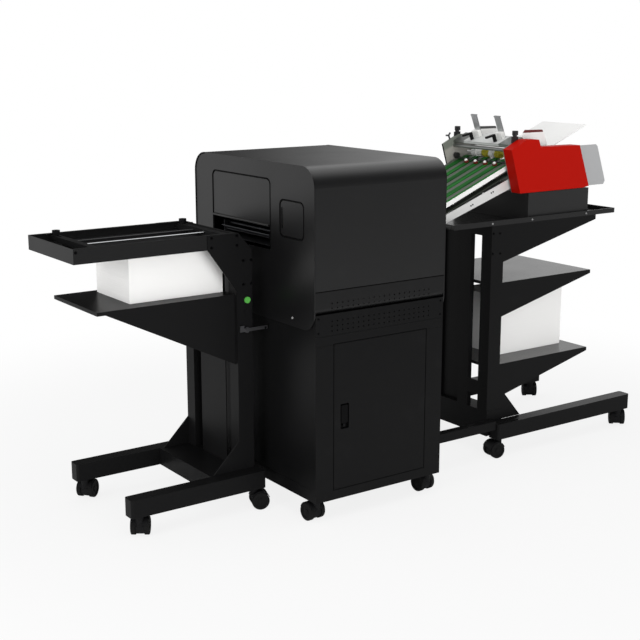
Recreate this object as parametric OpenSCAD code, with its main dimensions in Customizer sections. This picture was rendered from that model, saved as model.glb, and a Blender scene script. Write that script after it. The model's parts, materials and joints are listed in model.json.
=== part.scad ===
// Production braille embosser: an embossing unit on a castered cabinet, an output stacker on its
// own stand at the left and an inclined sheet feeder with a belt conveyor on a shelf stand at the right.
// Millimetres, +Z up. The origin is on the floor, under the middle of the whole line.

/* [Embosser] */
// Height from the floor to the top of the hood
unit_h = 1445; // [1410:1:1500]
// Width over the two cheeks
unit_w = 664; // [640:1:700]
// Depth from the door face to the back
unit_d = 916; // [896:1:960]
// Height of the underside of the cabinet and of every stand leg
ride_h = 90; // [86:1:98]
// Height of the cabinet's front and back rims
rim_z = 867; // [850:1:885]
// Height of the lowest line of the embossing head
head_z = 800; // [790:1:810]
// Height of the seam between the hood and the perforated strip
seam_z = 960; // [950:1:970]
// Radius of the cheeks' lower corners
cheek_r = 72; // [60:1:84]
// Radius of the strip's lower edge
belly_r = 24; // [16:1:30]
// Radius of the hood's upper edges
hood_r = 82; // [60:1:100]
// Sheet thickness of the head and the hood
skin_t = 2.5; // [2:0.1:3.5]
// Thickness of a cheek plate
cheek_t = 5; // [4:0.1:6]
// Sheet thickness of the cabinet
cab_t = 3; // [2:0.1:4]
// Drop of the hood's hinge line below the hood's top
hinge_drop = 105; // [95:1:145]
// Outer radius of a hood hinge knuckle
hinge_r = 5; // [4:0.1:6]
// Radius of a hood hinge pin
hinge_pin_r = 2.5; // [2:0.1:3]

/* [Cheek openings] */
// Middle of the paper path through the embosser, across the machine
path_y = 80; // [70:1:90]
// Height of the paper path between the rollers
path_z = 1100; // [1095:1:1105]
// Width of the output opening
exit_w = 450; // [430:1:460]
// Height of the output opening's lower edge
exit_z = 1087; // [1080:1:1090]
// Drop of the output opening's upper edge below the hood's top
exit_drop = 72; // [68:1:88]
// Free height of the output opening under the flap
exit_free = 98; // [94:1:126]
// Middle of the small access door, across the machine
access_y = -302; // [-310:1:-290]
// Drop of the access door's middle below the hood's top
access_drop = 217; // [205:1:230]
// Width of the access door
access_w = 163; // [140:1:170]
// Height of the access door
access_h = 145; // [120:1:160]
// Thickness of the flap and of the access door
leaf_t = 3; // [2.5:0.1:3.5]
// Radius of a leaf's pivot pin
leaf_pin_r = 1; // [0.8:0.1:1.1]
// Width of the infeed opening
infeed_w = 430; // [425:1:450]
// Height of the infeed opening
infeed_h = 180; // [170:1:200]

/* [Cabinet door] */
// Width of the door
door_w = 472; // [440:1:490]
// Height of the door
door_h = 608; // [580:1:615]
// Height of the door's lower edge
door_z = 133; // [128:1:140]
// Depth of the door's folded edges
door_fold = 18; // [16:1:19]
// Gap around the door
door_gap = 2; // [1.5:0.1:3]
// Radius of a door pivot pin
door_pin_r = 3; // [2:0.1:3.5]
// Height of the perforated panel over the door
vent_h = 88; // [80:1:92]
// Diameter of a vent hole
vent_d = 6; // [4:0.1:8]
// Pitch of the vent holes
vent_pitch = 26; // [20:0.5:30]
// Height between two rows of vent holes
vent_row = 19.5; // [16:0.5:22]
// Width of the handle's dish
dish_w = 42; // [38:1:48]
// Height of the handle's dish
dish_h = 106; // [96:1:116]
// Depth of the handle's dish
dish_d = 15; // [13:0.5:16]
// Distance of the dish from the door's free edge
dish_in = 32; // [28:1:60]

/* [Embossing rollers] */
// Pitch radius of the roller gears
gear_r = 45.3; // [45:0.1:46]
// Teeth of a roller gear
gear_teeth = 30; // [24:2:36]
// Radius of an embossing roller
roll_r = 44.6; // [43:0.1:44.8]
// Length of an embossing roller
roll_l = 360; // [340:1:364]
// Radius of a roller journal
journal_r = 10; // [8:0.1:12]
// Radius of the drive pulleys
pulley_r = 25; // [20:0.5:28]
// Height of the motor's shaft above the floor
motor_z = 930; // [920:1:940]
// Radius of the motor
motor_r = 45; // [40:1:50]

/* [Casters] */
// Wheel diameter
wheel_d = 75; // [70:1:76]
// Width of one wheel of a pair
wheel_w = 19; // [16:0.5:20]
// Width of the body between the wheels
caster_w = 36; // [34:1:40]
// Distance of the axle behind the swivel axis
caster_trail = 22; // [18:1:26]
// Radius of the swivel stem
stem_r = 5.5; // [4:0.1:6]
// Length of the swivel stem
stem_l = 30; // [24:1:34]
// Radius of an axle
axle_r = 4; // [3:0.1:5]

/* [Stacker] */
// Gap between the embosser and the stacker's column
stack_gap = 68; // [66:1:76]
// Middle of the stacker, across the machine
stack_y = 108; // [100:1:114]
// Outer width of the stacker's column and arms
stack_w = 438; // [434:1:460]
// Depth of a stacker post
stack_post = 71; // [66:1:76]
// Length of a stacker leg
stack_leg = 622; // [600:1:650]
// Side of the square legs
leg_s = 65; // [60:1:70]
// Height of the legs
leg_h = 75; // [70:1:80]
// Wall of the legs and posts
leg_t = 4; // [3:0.1:5]
// Corner radius of the legs' end caps
cap_r = 11; // [6:0.5:11.5]
// Width of a post
post_w = 66; // [60:1:70]
// Reach of the tray from the column's right face
tray_reach = 770; // [740:1:800]
// Height of the tray's underside
tray_z = 1105; // [1100:1:1110]
// Height of the tray's walls
tray_h = 59; // [56:1:64]
// Height of the lifting shelf's top
shelf_z = 911; // [900:1:915]
// Reach of the lifting shelf
shelf_reach = 679; // [650:1:700]
// Width of the lifting shelf
shelf_w = 404; // [396:1:410]
// Thickness of the shelves
shelf_t = 15; // [12:1:18]
// Drop of the shelf's side webs at the column
shelf_drop = 294; // [240:1:310]
// Width of the paper
paper_w = 297; // [279:1:300]
// Length of the paper
paper_l = 420; // [400:1:430]
// Height of the paper stack on the lifting shelf
stack_paper_h = 196; // [120:1:198]
// Diameter of the push button
button_d = 26; // [20:0.5:28]
// Height of the push button
button_z = 886; // [870:1:890]
// Height of the draw latch
latch_z = 762; // [755:1:770]
// Diameter of the chrome guide rods
rod_d = 8; // [6:0.5:10]

/* [Feeder stand] */
// Gap between the embosser and the feeder's column
feed_gap = 489; // [485:1:520]
// Middle of the feeder, across the machine
feed_y = 63; // [60:1:70]
// Outer width of the feeder's column and arms
feed_w = 558; // [550:1:580]
// Depth of a feeder post
feed_post = 75; // [70:1:80]
// Length of a feeder leg
feed_leg = 907; // [895:1:950]
// Height of the feeder table's underside
table_z = 1094; // [1090:1:1100]
// Height of the table's lip
table_lip = 23; // [18:1:28]
// Reach of the table past the column's left face
table_reach = 811; // [790:1:830]
// Overhang of the table towards the embosser
table_over = 230; // [210:1:236]
// Reach of the two shelves
bin_reach = 660; // [640:1:690]
// Height of the middle shelf's top
bin_mid_z = 825; // [815:1:835]
// Height of the lower shelf's top
bin_low_z = 435; // [425:1:445]
// Drop of a shelf's web at its post
bin_drop = 161; // [140:1:170]
// Height of the paper stack on the lower shelf
feed_paper_h = 285; // [200:1:300]
// Height of the docking bar
dock_h = 42; // [36:1:48]

/* [Sheet feeder] */
// Slope of the feeder and the conveyor in degrees
tilt = 22; // [20:0.5:24]
// Width of the pedestal, along the paper path
pedestal_l = 400; // [390:1:420]
// Height of the pedestal's top
pedestal_z = 1226; // [1222:1:1230]
// Clear width between the two side plates
throat_w = 390; // [386:1:392]
// Thickness of a side plate
plate_t = 9; // [8:0.1:10]
// Thickness of a red cover
cover_d = 55; // [45:1:58]
// Wall of a red cover
cover_t = 3; // [2:0.1:4]
// Height of the feeder's covers over the pedestal
cover_h = 203; // [195:1:210]
// Length of the conveyor on the slope
conv_l = 787; // [770:1:795]
// Number of belts
belt_n = 6; // [4:1:6]
// Width of a belt
belt_w = 32; // [20:1:34]
// Pitch of the belts
belt_pitch = 66; // [60:1:67]
// Thickness of a belt
belt_t = 3; // [2:0.1:4]
// Radius of the conveyor's drive roller
drive_r = 17; // [15:0.5:18]
// Diameter of a hold-down ball
ball_d = 16; // [12:0.5:18]
// Width of a gate bar
bar_w = 36; // [30:1:40]
// Thickness of a gate bar
bar_t = 6; // [5:0.1:8]
// Length of a gate bar
bar_l = 151; // [140:1:156]
// Distance between the gate bars
bar_gap = 160; // [150:1:170]
// Radius of a feed wheel
feed_wheel_r = 20; // [16:0.5:22]

/* [Fits] */
// Radial clearance of a pin or shaft in its bore
run_fit = 0.08; // [0.05:0.01:0.1]
// Gap between sheet parts that move past each other
slip_gap = 0.5; // [0.3:0.1:1]
// Gap between a moving piece and its seat
seat_gap = 0.3; // [0.2:0.05:0.4]

/* [Hidden] */
$fn = 48;
eps = 0.01;

half_w = unit_w / 2;
half_d = unit_d / 2;
back_y = half_d - hinge_r - 1;
cab_half = half_w - cheek_t - 1;
shell_half = half_w - cheek_t;
vent_z = rim_z - vent_h;
exit_top = unit_h - exit_drop;
exit_h = exit_top - exit_z;
flap_h = exit_h - exit_free;
access_z = unit_h - access_drop;
hinge_z = unit_h - hinge_drop;
floor_z = rim_z + 1.5;
leaf_gap = 2.5;
leaf_x = -half_w + 1 + leaf_t / 2;
corner_r = 22;
leaf_in = corner_r + 4;
door_top = door_z + door_h;
door_pin_x = door_w / 2 - 13;
door_pin_y = -half_d + 5;
door_sheet = 2;
dish_x = -door_w / 2 + dish_in + dish_w / 2;
dish_z = 437;
handle_z = dish_z + dish_h / 2 - 14;
lock_z = dish_z - dish_h / 2 + 13;

roll_low = path_z - gear_r;
roll_high = path_z + gear_r;
frame_in = roll_l / 2 + 8;
frame_t = 8;
frame_x = 150;
gear_t = 14;

left_end = half_w + stack_gap + tray_reach;
leg_in = 13;
right_end = half_w + feed_gap + leg_in + feed_leg;
unit_x = (left_end - right_end) / 2;

wheel_r = wheel_d / 2;
neck_r = 17;
hood_half_w = caster_w / 2 + wheel_w - 4;
neck_top = ride_h - seat_gap;
boss_r = stem_r + 7;

stack_half = stack_w / 2;
stack_leg_y = stack_half + 4 + leg_s / 2;
leg_back = 16;
leg_top = ride_h + leg_h;
slot_y = stack_half - post_w;
spine_half = slot_y - 50;
shelf_in = stack_post + 1;
tray_half = stack_half - leg_t;
tray_wall = 3;
arm_x = 203;
arm_drop = 182;
post_slope = 72;
stack_paper_x = shelf_in + 14;
stack_paper_y = 18;
bar_top = tray_z + tray_h - 6;
guide_x = [-tray_reach + 103, -stack_post - 24];
guide_y = tray_half - 36;
guide_travel = 45;
stud_r = 4;
rod_y_at = [-32, 60];
button_x = -26;
latch_pivot = -30;
keeper_x = stack_gap - 10;
latch_y = -stack_half - 7;

feed_half = feed_w / 2;
feed_leg_y = feed_half + 2 + leg_s / 2;
sill_z = 216;
bin_w = feed_w - 2 * leg_t;
pedestal_x = 240;
plate_in = throat_w / 2;
plate_out = plate_in + plate_t;
cover_out = plate_out + cover_d + 1;
belt_z = 1345;
belt_x = 174;
bed_top = -belt_t - seat_gap;
head_s = 66;
rail_in = plate_in - 8;
wheel_shaft = [102, 5];
bridge_t = 8;
bridge_n = 88;
gate_s = 104;
smoke_z = pedestal_z + 2;
smoke_h = cover_h - 6;
guide_z = pedestal_z + cover_h + 79;
near_in = 4;
lever_s = 55;

// Where each caster stands, and how far it has turned: machine, stacker, feeder
caster_at = concat(
    [for (sy = [-1, 1], sx = [-1, 1]) [unit_x + sx * (cab_half - 34), sy * (half_d - 46)]],
    [for (sy = [-1, 1], x = [-stack_leg + leg_back + 48, leg_back - 41])
        [unit_x - half_w - stack_gap + x, stack_y + sy * stack_leg_y]],
    [for (sy = [-1, 1], x = [leg_in + 34, leg_in + feed_leg - 44])
        [unit_x + half_w + feed_gap + x, feed_y + sy * feed_leg_y]]);
caster_turn = [95, 95, -60, -115, 55, -20, 40, 30, 170, 50, 70, 55];

module at_unit() { translate([unit_x, 0, 0]) children(); }
module at_stacker() { translate([unit_x - half_w - stack_gap, stack_y, 0]) children(); }
module at_feeder() { translate([unit_x + half_w + feed_gap, feed_y, 0]) children(); }
// The feeder's slope: X along the belts, Z square to them, origin on the belts under the ball row
module on_slope() { at_feeder() translate([belt_x, 0, belt_z]) rotate([0, -tilt, 0]) children(); }

module along_x(x0, x1) { translate([x0, 0, 0]) rotate([90, 0, 90]) linear_extrude(x1 - x0) children(); }
module along_y(y0, y1) { translate([0, y1, 0]) rotate([90, 0, 0]) linear_extrude(y1 - y0) children(); }
module box(x, y, z) { translate([x[0], y[0], z[0]]) cube([x[1] - x[0], y[1] - y[0], z[1] - z[0]]); }
module rod_x(r, x0, x1) { translate([x0, 0, 0]) rotate([0, 90, 0]) cylinder(r = r, h = x1 - x0); }
module rod_y(r, y0, y1) { translate([0, y0, 0]) rotate([-90, 0, 0]) cylinder(r = r, h = y1 - y0); }
module both_y() { children(); mirror([0, 1, 0]) children(); }
module round_rect(w, h, r) {
    square([w - 2 * r, h], center = true);
    square([w, h - 2 * r], center = true);
    for (x = [-1, 1], y = [-1, 1]) translate([x * (w / 2 - r), y * (h / 2 - r)]) circle(r);
}

// Side outline of the head, drawn in from its edge by c, between its back face and its lowest line
module head_profile(c, back, low, low_edge) {
    front = -half_d + c;
    rear = back - c;
    top_r = hood_r - c;
    low_r = low_edge - c;
    translate([front, low + low_edge]) square([rear - front, unit_h - hood_r - low - low_edge]);
    translate([front + top_r, unit_h - hood_r - 1]) square([rear - front - 2 * top_r, top_r + 1]);
    translate([front + low_r, low + c]) square([rear - front - 2 * low_r, low_r + 1]);
    for (y = [front + top_r, rear - top_r]) translate([y, unit_h - hood_r]) circle(top_r);
    for (y = [front + low_r, rear - low_r]) translate([y, low + low_edge]) circle(low_r);
}
module head_skin() {
    difference() {
        head_profile(0, back_y, floor_z, belly_r);
        head_profile(skin_t, back_y, floor_z, belly_r);
    }
}
// Rows of vent holes through a sheet that faces forwards
module vent_holes(z_rows, y0, depth) {
    count = floor((door_w + 50) / vent_pitch);
    for (z = z_rows, i = [0:count - 1])
        translate([(i - (count - 1) / 2) * vent_pitch, 0, z]) rod_y(vent_d / 2, y0, y0 + depth);
}
// Socket of a caster stem under a leg or a cabinet floor
module caster_boss() { cylinder(r = boss_r, h = stem_l + 6); }
module caster_bore() {
    translate([0, 0, -eps]) cylinder(r = stem_r + run_fit, h = stem_l + seat_gap);
}

// Cabinet: folded sheet body with a framed door opening and a top sheet that carries the head
module cabinet_body() {
    fold = door_fold + 4;
    open_x = door_w / 2 + door_gap;
    open_low = door_z - door_gap;
    open_top = door_top + door_gap;
    color([0.13, 0.13, 0.14]) at_unit() {
        difference() {
            union() {
                difference() {
                    box([-cab_half, cab_half], [-half_d, half_d - cab_t], [ride_h, rim_z]);
                    box([-cab_half + cab_t, cab_half - cab_t], [-half_d + cab_t, half_d], [ride_h + cab_t, rim_z + 1]);
                    // The vent panel closes the front above the door frame
                    box([-cab_half - 1, cab_half + 1], [-half_d - 1, -half_d + cab_t], [vent_z, rim_z + 1]);
                }
                // Top sheet with four pads that carry the head
                box([-cab_half, cab_half], [-half_d + cab_t, half_d - cab_t], [rim_z - cab_t, rim_z]);
                for (sx = [-1, 1], sy = [-1, 1])
                    translate([sx * (cab_half - 80), sy * (half_d - 110), 0]) box([-40, 40], [-40, 40], [rim_z - 1, floor_z]);
                // Folded edges round the door opening
                box([-open_x - 2, open_x + 2], [-half_d, -half_d + fold], [open_low - 2, open_top + 2]);
                for (sx = [-1, 1], sy = [-1, 1])
                    translate([sx * (cab_half - 34), sy * (half_d - 46), ride_h]) caster_boss();
            }
            box([-open_x, open_x], [-half_d - 1, -half_d + fold + 1], [open_low, open_top]);
            for (sx = [-1, 1], sy = [-1, 1])
                translate([sx * (cab_half - 34), sy * (half_d - 46), ride_h]) caster_bore();
            // Seam of the door frame's upper rail
            for (sx = [-1, 1]) translate([sx * (open_x + cab_half + 1) / 2, -half_d, door_top])
                cube([cab_half + 1 - open_x, 2, 2], center = true);
            // Shadow groove above the base rail on both sides
            for (sx = [-1, 1]) translate([sx * cab_half, 0, door_z + 10])
                cube([2, unit_d - 60, 7], center = true);
        }
        for (z = [open_low, open_top - 8])
            translate([door_pin_x, door_pin_y, z]) cylinder(r = door_pin_r, h = 8);
        // Keeper of the stacker's latch
        translate([-half_w - stack_gap, stack_y, 0]) {
            box([keeper_x - 6, stack_gap + half_w - cab_half + eps], [latch_y + 4, latch_y + 8], [latch_z - 12, latch_z + 12]);
            translate([keeper_x, 0, latch_z]) rod_y(3, latch_y - 6, latch_y + 5);
        }
    }
}
// Perforated front panel over the door, and the back panel with louvres and the power inlet
module cabinet_panels() {
    back_z = ride_h + 10;
    color([0.14, 0.14, 0.15]) at_unit() {
        difference() {
            box([-cab_half, cab_half], [-half_d, -half_d + cab_t], [vent_z + 1, rim_z]);
            vent_holes([for (j = [0:2]) rim_z - 30 - j * vent_row], -half_d - 1, cab_t + 2);
        }
        difference() {
            box([-cab_half, cab_half], [half_d - cab_t, half_d], [back_z, rim_z]);
            for (i = [0:11]) box([-150, 150], [half_d - cab_t - 1, half_d + 1], [560 + i * 16, 566 + i * 16]);
            box([cab_half - 94, cab_half - 58], [half_d - cab_t - 1, half_d + 1], [back_z + 36, back_z + 65]);
        }
        // Power inlet: a deep socket with three flat pins
        translate([cab_half - 76, 0, back_z + 50]) {
            difference() {
                box([-18, 18], [half_d - 28, half_d], [-14.5, 14.5]);
                box([-12, 12], [half_d - 22, half_d + 1], [-8.5, 8.5]);
            }
            for (p = [[0, 4], [-7, -4], [7, -4]]) translate([p[0], 0, p[1]])
                box([-1, 1], [half_d - 23, half_d - 5], [-2, 2]);
        }
    }
}
// Door: a folded pan with the handle's dish set in it and bores for its two pivots
module cabinet_door() {
    color([0.15, 0.15, 0.16]) at_unit() difference() {
        union() {
            difference() {
                box([-door_w / 2, door_w / 2], [-half_d, -half_d + door_fold], [door_z, door_top]);
                box([-door_w / 2 + door_sheet, door_w / 2 - door_sheet], [-half_d + door_sheet, -half_d + door_fold + 1],
                    [door_z + door_sheet, door_top - door_sheet]);
            }
            for (z = [door_z, door_top - 14])
                box([door_pin_x - 10, door_w / 2], [-half_d, -half_d + door_fold], [z, z + 14]);
            translate([dish_x, 0, dish_z]) along_y(-half_d + 0.5, -half_d + dish_d + 2) round_rect(dish_w + 4, dish_h + 4, 8);
        }
        translate([dish_x, 0, dish_z]) along_y(-half_d - 1, -half_d + dish_d) round_rect(dish_w, dish_h, 6);
        translate([dish_x, -half_d + 6, handle_z]) rod_x(2.5 + run_fit, -dish_w / 2 - 1.5, dish_w / 2 + 1.5);
        translate([dish_x, 0, lock_z]) rod_y(6 + run_fit, -half_d, -half_d + dish_d + 4);
        for (z = [door_z - 1, door_top - 10])
            translate([door_pin_x, door_pin_y, z]) cylinder(r = door_pin_r + run_fit, h = 11);
    }
}
// Lift handle that swings out of the dish on a cross pin
module door_handle() {
    w = dish_w - 10;
    low = lock_z + 10;
    color([0.1, 0.1, 0.1]) at_unit() translate([dish_x, 0, 0]) {
        difference() {
            along_y(-half_d + 1, -half_d + 10) translate([0, (low + handle_z + 7) / 2])
                round_rect(w, handle_z + 7 - low, 4);
            // Finger scoop behind the lower end
            box([-w, w], [-half_d + 5, -half_d + 11], [low - 1, low + 30]);
        }
        translate([0, -half_d + 6, handle_z]) rod_x(2.5, -dish_w / 2 - 1, dish_w / 2 + 1);
    }
}
// Key lock: plug in the dish and its cam behind the door, drawn unlocked
module door_lock() {
    cam_y = -half_d + door_fold + 8;
    color([0.6, 0.6, 0.62]) at_unit() translate([dish_x, 0, lock_z]) difference() {
        union() {
            rod_y(6, -half_d + 4, cam_y);
            along_y(cam_y, cam_y + 3) union() {
                circle(9);
                translate([-6, 0]) square([12, 60]);
            }
        }
        box([-0.8, 0.8], [-half_d + 3, -half_d + 7], [-3.5, 3.5]);
    }
}
// Lower half of the head: perforated front strip, belly, floor and back wall in one bent sheet
module head_shell() {
    color([0.15, 0.15, 0.16]) at_unit() difference() {
        union() {
            along_x(-shell_half, shell_half) intersection() {
                head_skin();
                union() {
                    translate([-half_d - 1, 0]) square([half_d + 1, seam_z - slip_gap]);
                    square([half_d, hinge_z - slip_gap]);
                }
            }
            hinge_knuckles([-1, 1], hinge_r);
            translate([0, back_y, hinge_z]) for (sx = [-1, 1]) rod_x(hinge_pin_r, sx * 200 - 45, sx * 200 + 45);
        }
        vent_holes([seam_z - 51, seam_z - 51 - vent_row], -half_d - 1, 20);
        // Room for the hood's knuckles
        for (sx = [-1, 1]) translate([0, back_y, hinge_z]) difference() {
            rod_x(hinge_r + slip_gap, sx * 200 - 15 - slip_gap, sx * 200 + 15 + slip_gap);
            rod_x(hinge_pin_r, sx * 200 - 20, sx * 200 + 20);
        }
    }
}
// Hinge knuckles of 30 mm about the two hinge places; at picks the outer pair or the middle one
module hinge_knuckles(at, r) {
    for (sx = [-1, 1], k = at) translate([0, back_y, hinge_z])
        rod_x(r, sx * 200 + k * 30 - 15, sx * 200 + k * 30 + 15);
}
// Upright outline with rounded upper corners, standing on its lower edge
module top_rounded(w, h) {
    translate([0, h / 2]) round_rect(w, h, corner_r);
    translate([0, h / 4]) square([w, h / 2], center = true);
}
// Two flat cheeks that close the head's ends
module head_cheeks() {
    color([0.14, 0.14, 0.15]) at_unit() {
        difference() {
            along_x(-half_w, -shell_half) difference() {
                head_profile(0, half_d, head_z, cheek_r);
                translate([path_y, exit_z]) top_rounded(exit_w, exit_h);
                translate([access_y, access_z]) round_rect(access_w, access_h, corner_r);
            }
            translate([leaf_x, path_y, exit_top - leaf_gap - leaf_in])
                rod_y(leaf_pin_r + run_fit, -exit_w / 2 - 6, exit_w / 2 + 6);
            translate([leaf_x, access_y - access_w / 2 + leaf_gap + leaf_in, access_z - access_h / 2 - 6])
                cylinder(r = leaf_pin_r + run_fit, h = access_h + 12);
        }
        along_x(shell_half, half_w) difference() {
            head_profile(0, half_d, head_z, cheek_r);
            translate([feed_y, path_z - 20]) round_rect(infeed_w, infeed_h, 10);
        }
    }
}
// Hood: front, top and the upper back in one bent sheet that swings up on the back hinges
module hood() {
    reach = shell_half - slip_gap;
    color([0.17, 0.17, 0.18]) at_unit() difference() {
        union() {
            along_x(-reach, reach) intersection() {
                head_skin();
                hood_half();
            }
            // Stiffening bows behind both ends
            for (x = [-reach + 6, reach - 9]) along_x(x, x + 3) intersection() {
                difference() {
                    head_profile(skin_t / 2, back_y, floor_z, belly_r);
                    head_profile(23.5, back_y, floor_z, belly_r);
                }
                hood_half();
                translate([-half_d, 0]) square([half_d + back_y - 30, unit_h]);
            }
            hinge_knuckles([0], hinge_r);
        }
        translate([0, back_y, hinge_z]) for (sx = [-1, 1]) {
            rod_x(hinge_pin_r + run_fit, sx * 200 - 16, sx * 200 + 16);
            for (k = [-1, 1])
                rod_x(hinge_r + slip_gap, sx * 200 + k * 30 - 15 - slip_gap, sx * 200 + k * 30 + 15 + slip_gap);
        }
        // The middle knuckle keeps its own end gaps
    }
}
module hood_half() {
    translate([-half_d - 1, seam_z + slip_gap]) square([half_d + 1, unit_h]);
    translate([-eps, hinge_z + slip_gap]) square([half_d + 1, unit_h]);
}
// Output flap on two stub pins under the opening's upper edge, with a rolled lip
module output_flap() {
    w = exit_w - 2 * leaf_gap;
    top = exit_top - leaf_gap;
    color([0.13, 0.13, 0.14]) at_unit() translate([leaf_x, path_y, 0]) {
        along_x(-leaf_t / 2, leaf_t / 2) translate([0, top - flap_h]) top_rounded(w, flap_h);
        translate([-4, 0, top - flap_h + 3]) rod_y(5, -w / 2 + 3, w / 2 - 3);
        translate([0, 0, top - leaf_in]) rod_y(leaf_pin_r, -w / 2 - 6, w / 2 + 6);
    }
}
// Access door with a finger slot, on two stub pins at its front edge
module access_door() {
    w = access_w - 2 * leaf_gap;
    h = access_h - 2 * leaf_gap;
    color([0.13, 0.13, 0.14]) at_unit() translate([leaf_x, access_y, access_z]) {
        along_x(-leaf_t / 2, leaf_t / 2) difference() {
            round_rect(w, h, corner_r);
            translate([w / 2 - 9, 0]) round_rect(8, 86, 3.9);
        }
        translate([0, -w / 2 + leaf_in, -h / 2 - 6]) cylinder(r = leaf_pin_r, h = h + 12);
    }
}
// Embossing frame: side plates, ties, paper guides, and the motor with its belt
module emboss_frame() {
    base_z = floor_z + skin_t;
    top = roll_high + gear_r + 30;
    y_in = frame_in;
    belt_y = -y_in - frame_t - 20;
    color([0.62, 0.63, 0.65]) at_unit() translate([0, path_y, 0]) {
        difference() {
            union() {
                for (y = [-y_in - frame_t, y_in]) box([-frame_x, frame_x], [y, y + frame_t], [base_z, top]);
                for (x = [-frame_x + 20, frame_x - 20], z = [base_z + 30, top - 25])
                    translate([x, 0, z]) rod_y(10, -y_in - 1, y_in + 1);
                // Lower paper guides on both sides of the rollers
                for (x = [[-half_w + 20, -24], [24, half_w - 20]])
                    box(x, [-y_in - 1, y_in + 1], [path_z - 4, path_z - 1.5]);
            }
            for (z = [roll_low, roll_high]) translate([0, 0, z])
                rod_y(journal_r + run_fit, -y_in - frame_t - 1, y_in + frame_t + 1);
            translate([0, 0, roll_low]) rod_y(roll_r + 3, -y_in, y_in);
        }
        // Exit guide: an upper plate with a turned-up lip, carried by two brackets and a rod
        for (y = [-y_in - 0.5, y_in - 3.5]) box([-half_w + 30, -frame_x + 1], [y, y + 4], [path_z - 3, path_z + 60]);
        box([-half_w + 34, -60], [-y_in - 0.5, y_in + 0.5], [path_z + 24, path_z + 26]);
        along_y(-y_in, y_in) polygon([[-half_w + 36, path_z + 24], [-half_w + 36, path_z + 26], [-half_w + 18, path_z + 42], [-half_w + 17, path_z + 40]]);
        translate([-half_w + 60, 0, path_z + 48]) rod_y(6, -y_in, y_in);
        translate([0, 0, motor_z]) {
            rod_y(motor_r, -y_in, -y_in + 130);
            rod_y(8, -y_in - frame_t - 26, -y_in + 1);
            rod_y(pulley_r, belt_y - 6, belt_y + 12);
        }
        along_y(belt_y, belt_y + 12) difference() {
            belt_loop(pulley_r + seat_gap + 3);
            belt_loop(pulley_r + seat_gap);
        }
    }
}
module belt_loop(r) {
    translate([0, motor_z]) circle(r);
    translate([0, roll_low]) circle(r);
    translate([-r, motor_z]) square([2 * r, roll_low - motor_z]);
}
// Spur gear with straight-sided teeth, standing along Y
module roller_gear(turn) {
    pitch = 360 / gear_teeth;
    m = 2 * gear_r / gear_teeth;
    tip = gear_r + 0.8 * m;
    root = gear_r - 1.1 * m;
    for (i = [0:gear_teeth - 1]) rotate(turn + i * pitch)
        polygon([[root - 1, -0.85 * m], [gear_r, -0.66 * m], [tip, -0.36 * m],
                 [tip, 0.36 * m], [gear_r, 0.66 * m], [root - 1, 0.85 * m]]);
    circle(root);
}
// Embossing roller with pin grooves, journals and its gear at the far end
module emboss_roller(z, turn) {
    grooves = 15;
    step = roll_l / (grooves + 1);
    far = frame_in + frame_t + 2;
    at_unit() translate([0, path_y, z]) {
        difference() {
            rod_y(roll_r, -roll_l / 2, roll_l / 2);
            for (i = [1:grooves]) translate([0, -roll_l / 2 + i * step, 0]) difference() {
                rod_y(roll_r + 1, -2, 2);
                rod_y(roll_r - 1.5, -3, 3);
            }
        }
        rod_y(journal_r, -frame_in - frame_t - 2, far + gear_t);
        along_y(far, far + gear_t) roller_gear(turn);
    }
}
module lower_emboss_roller() {
    belt_y = -frame_in - frame_t - 20;
    color([0.7, 0.71, 0.73]) {
        emboss_roller(roll_low, 0);
        at_unit() translate([0, path_y, roll_low]) {
            rod_y(journal_r, belt_y - 6, 0);
            rod_y(pulley_r, belt_y, belt_y + 12);
        }
    }
}
module upper_emboss_roller() {
    color([0.72, 0.73, 0.75]) emboss_roller(roll_high, 180 / gear_teeth);
}

// Stand leg: a folded channel, closed on top and at its ends, with two caster sockets
module stand_leg(x0, x1, casters) {
    difference() {
        union() {
            difference() {
                translate([(x0 + x1) / 2, 0, ride_h]) linear_extrude(leg_h) round_rect(x1 - x0, leg_s, cap_r);
                box([x0 + leg_t, x1 - leg_t], [-leg_s / 2 + leg_t, leg_s / 2 - leg_t], [ride_h - 1, leg_top - leg_t]);
            }
            for (x = casters) translate([x, 0, ride_h]) {
                cylinder(r = boss_r, h = leg_h - 1);
                box([-25, 25], [-leg_s / 2 + 1, leg_s / 2 - 1], [0, leg_t]);
            }
        }
        for (x = casters) translate([x, 0, ride_h]) caster_bore();
    }
}
// Square post: a tube that stands on z0
module post_tube(x0, x1, y0, y1, z0, z1) {
    difference() {
        box([x0, x1], [y0, y1], [z0, z1]);
        box([x0 + leg_t, x1 - leg_t], [y0 + leg_t, y1 - leg_t], [z0 - 1, z1 + 1]);
    }
}
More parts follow.
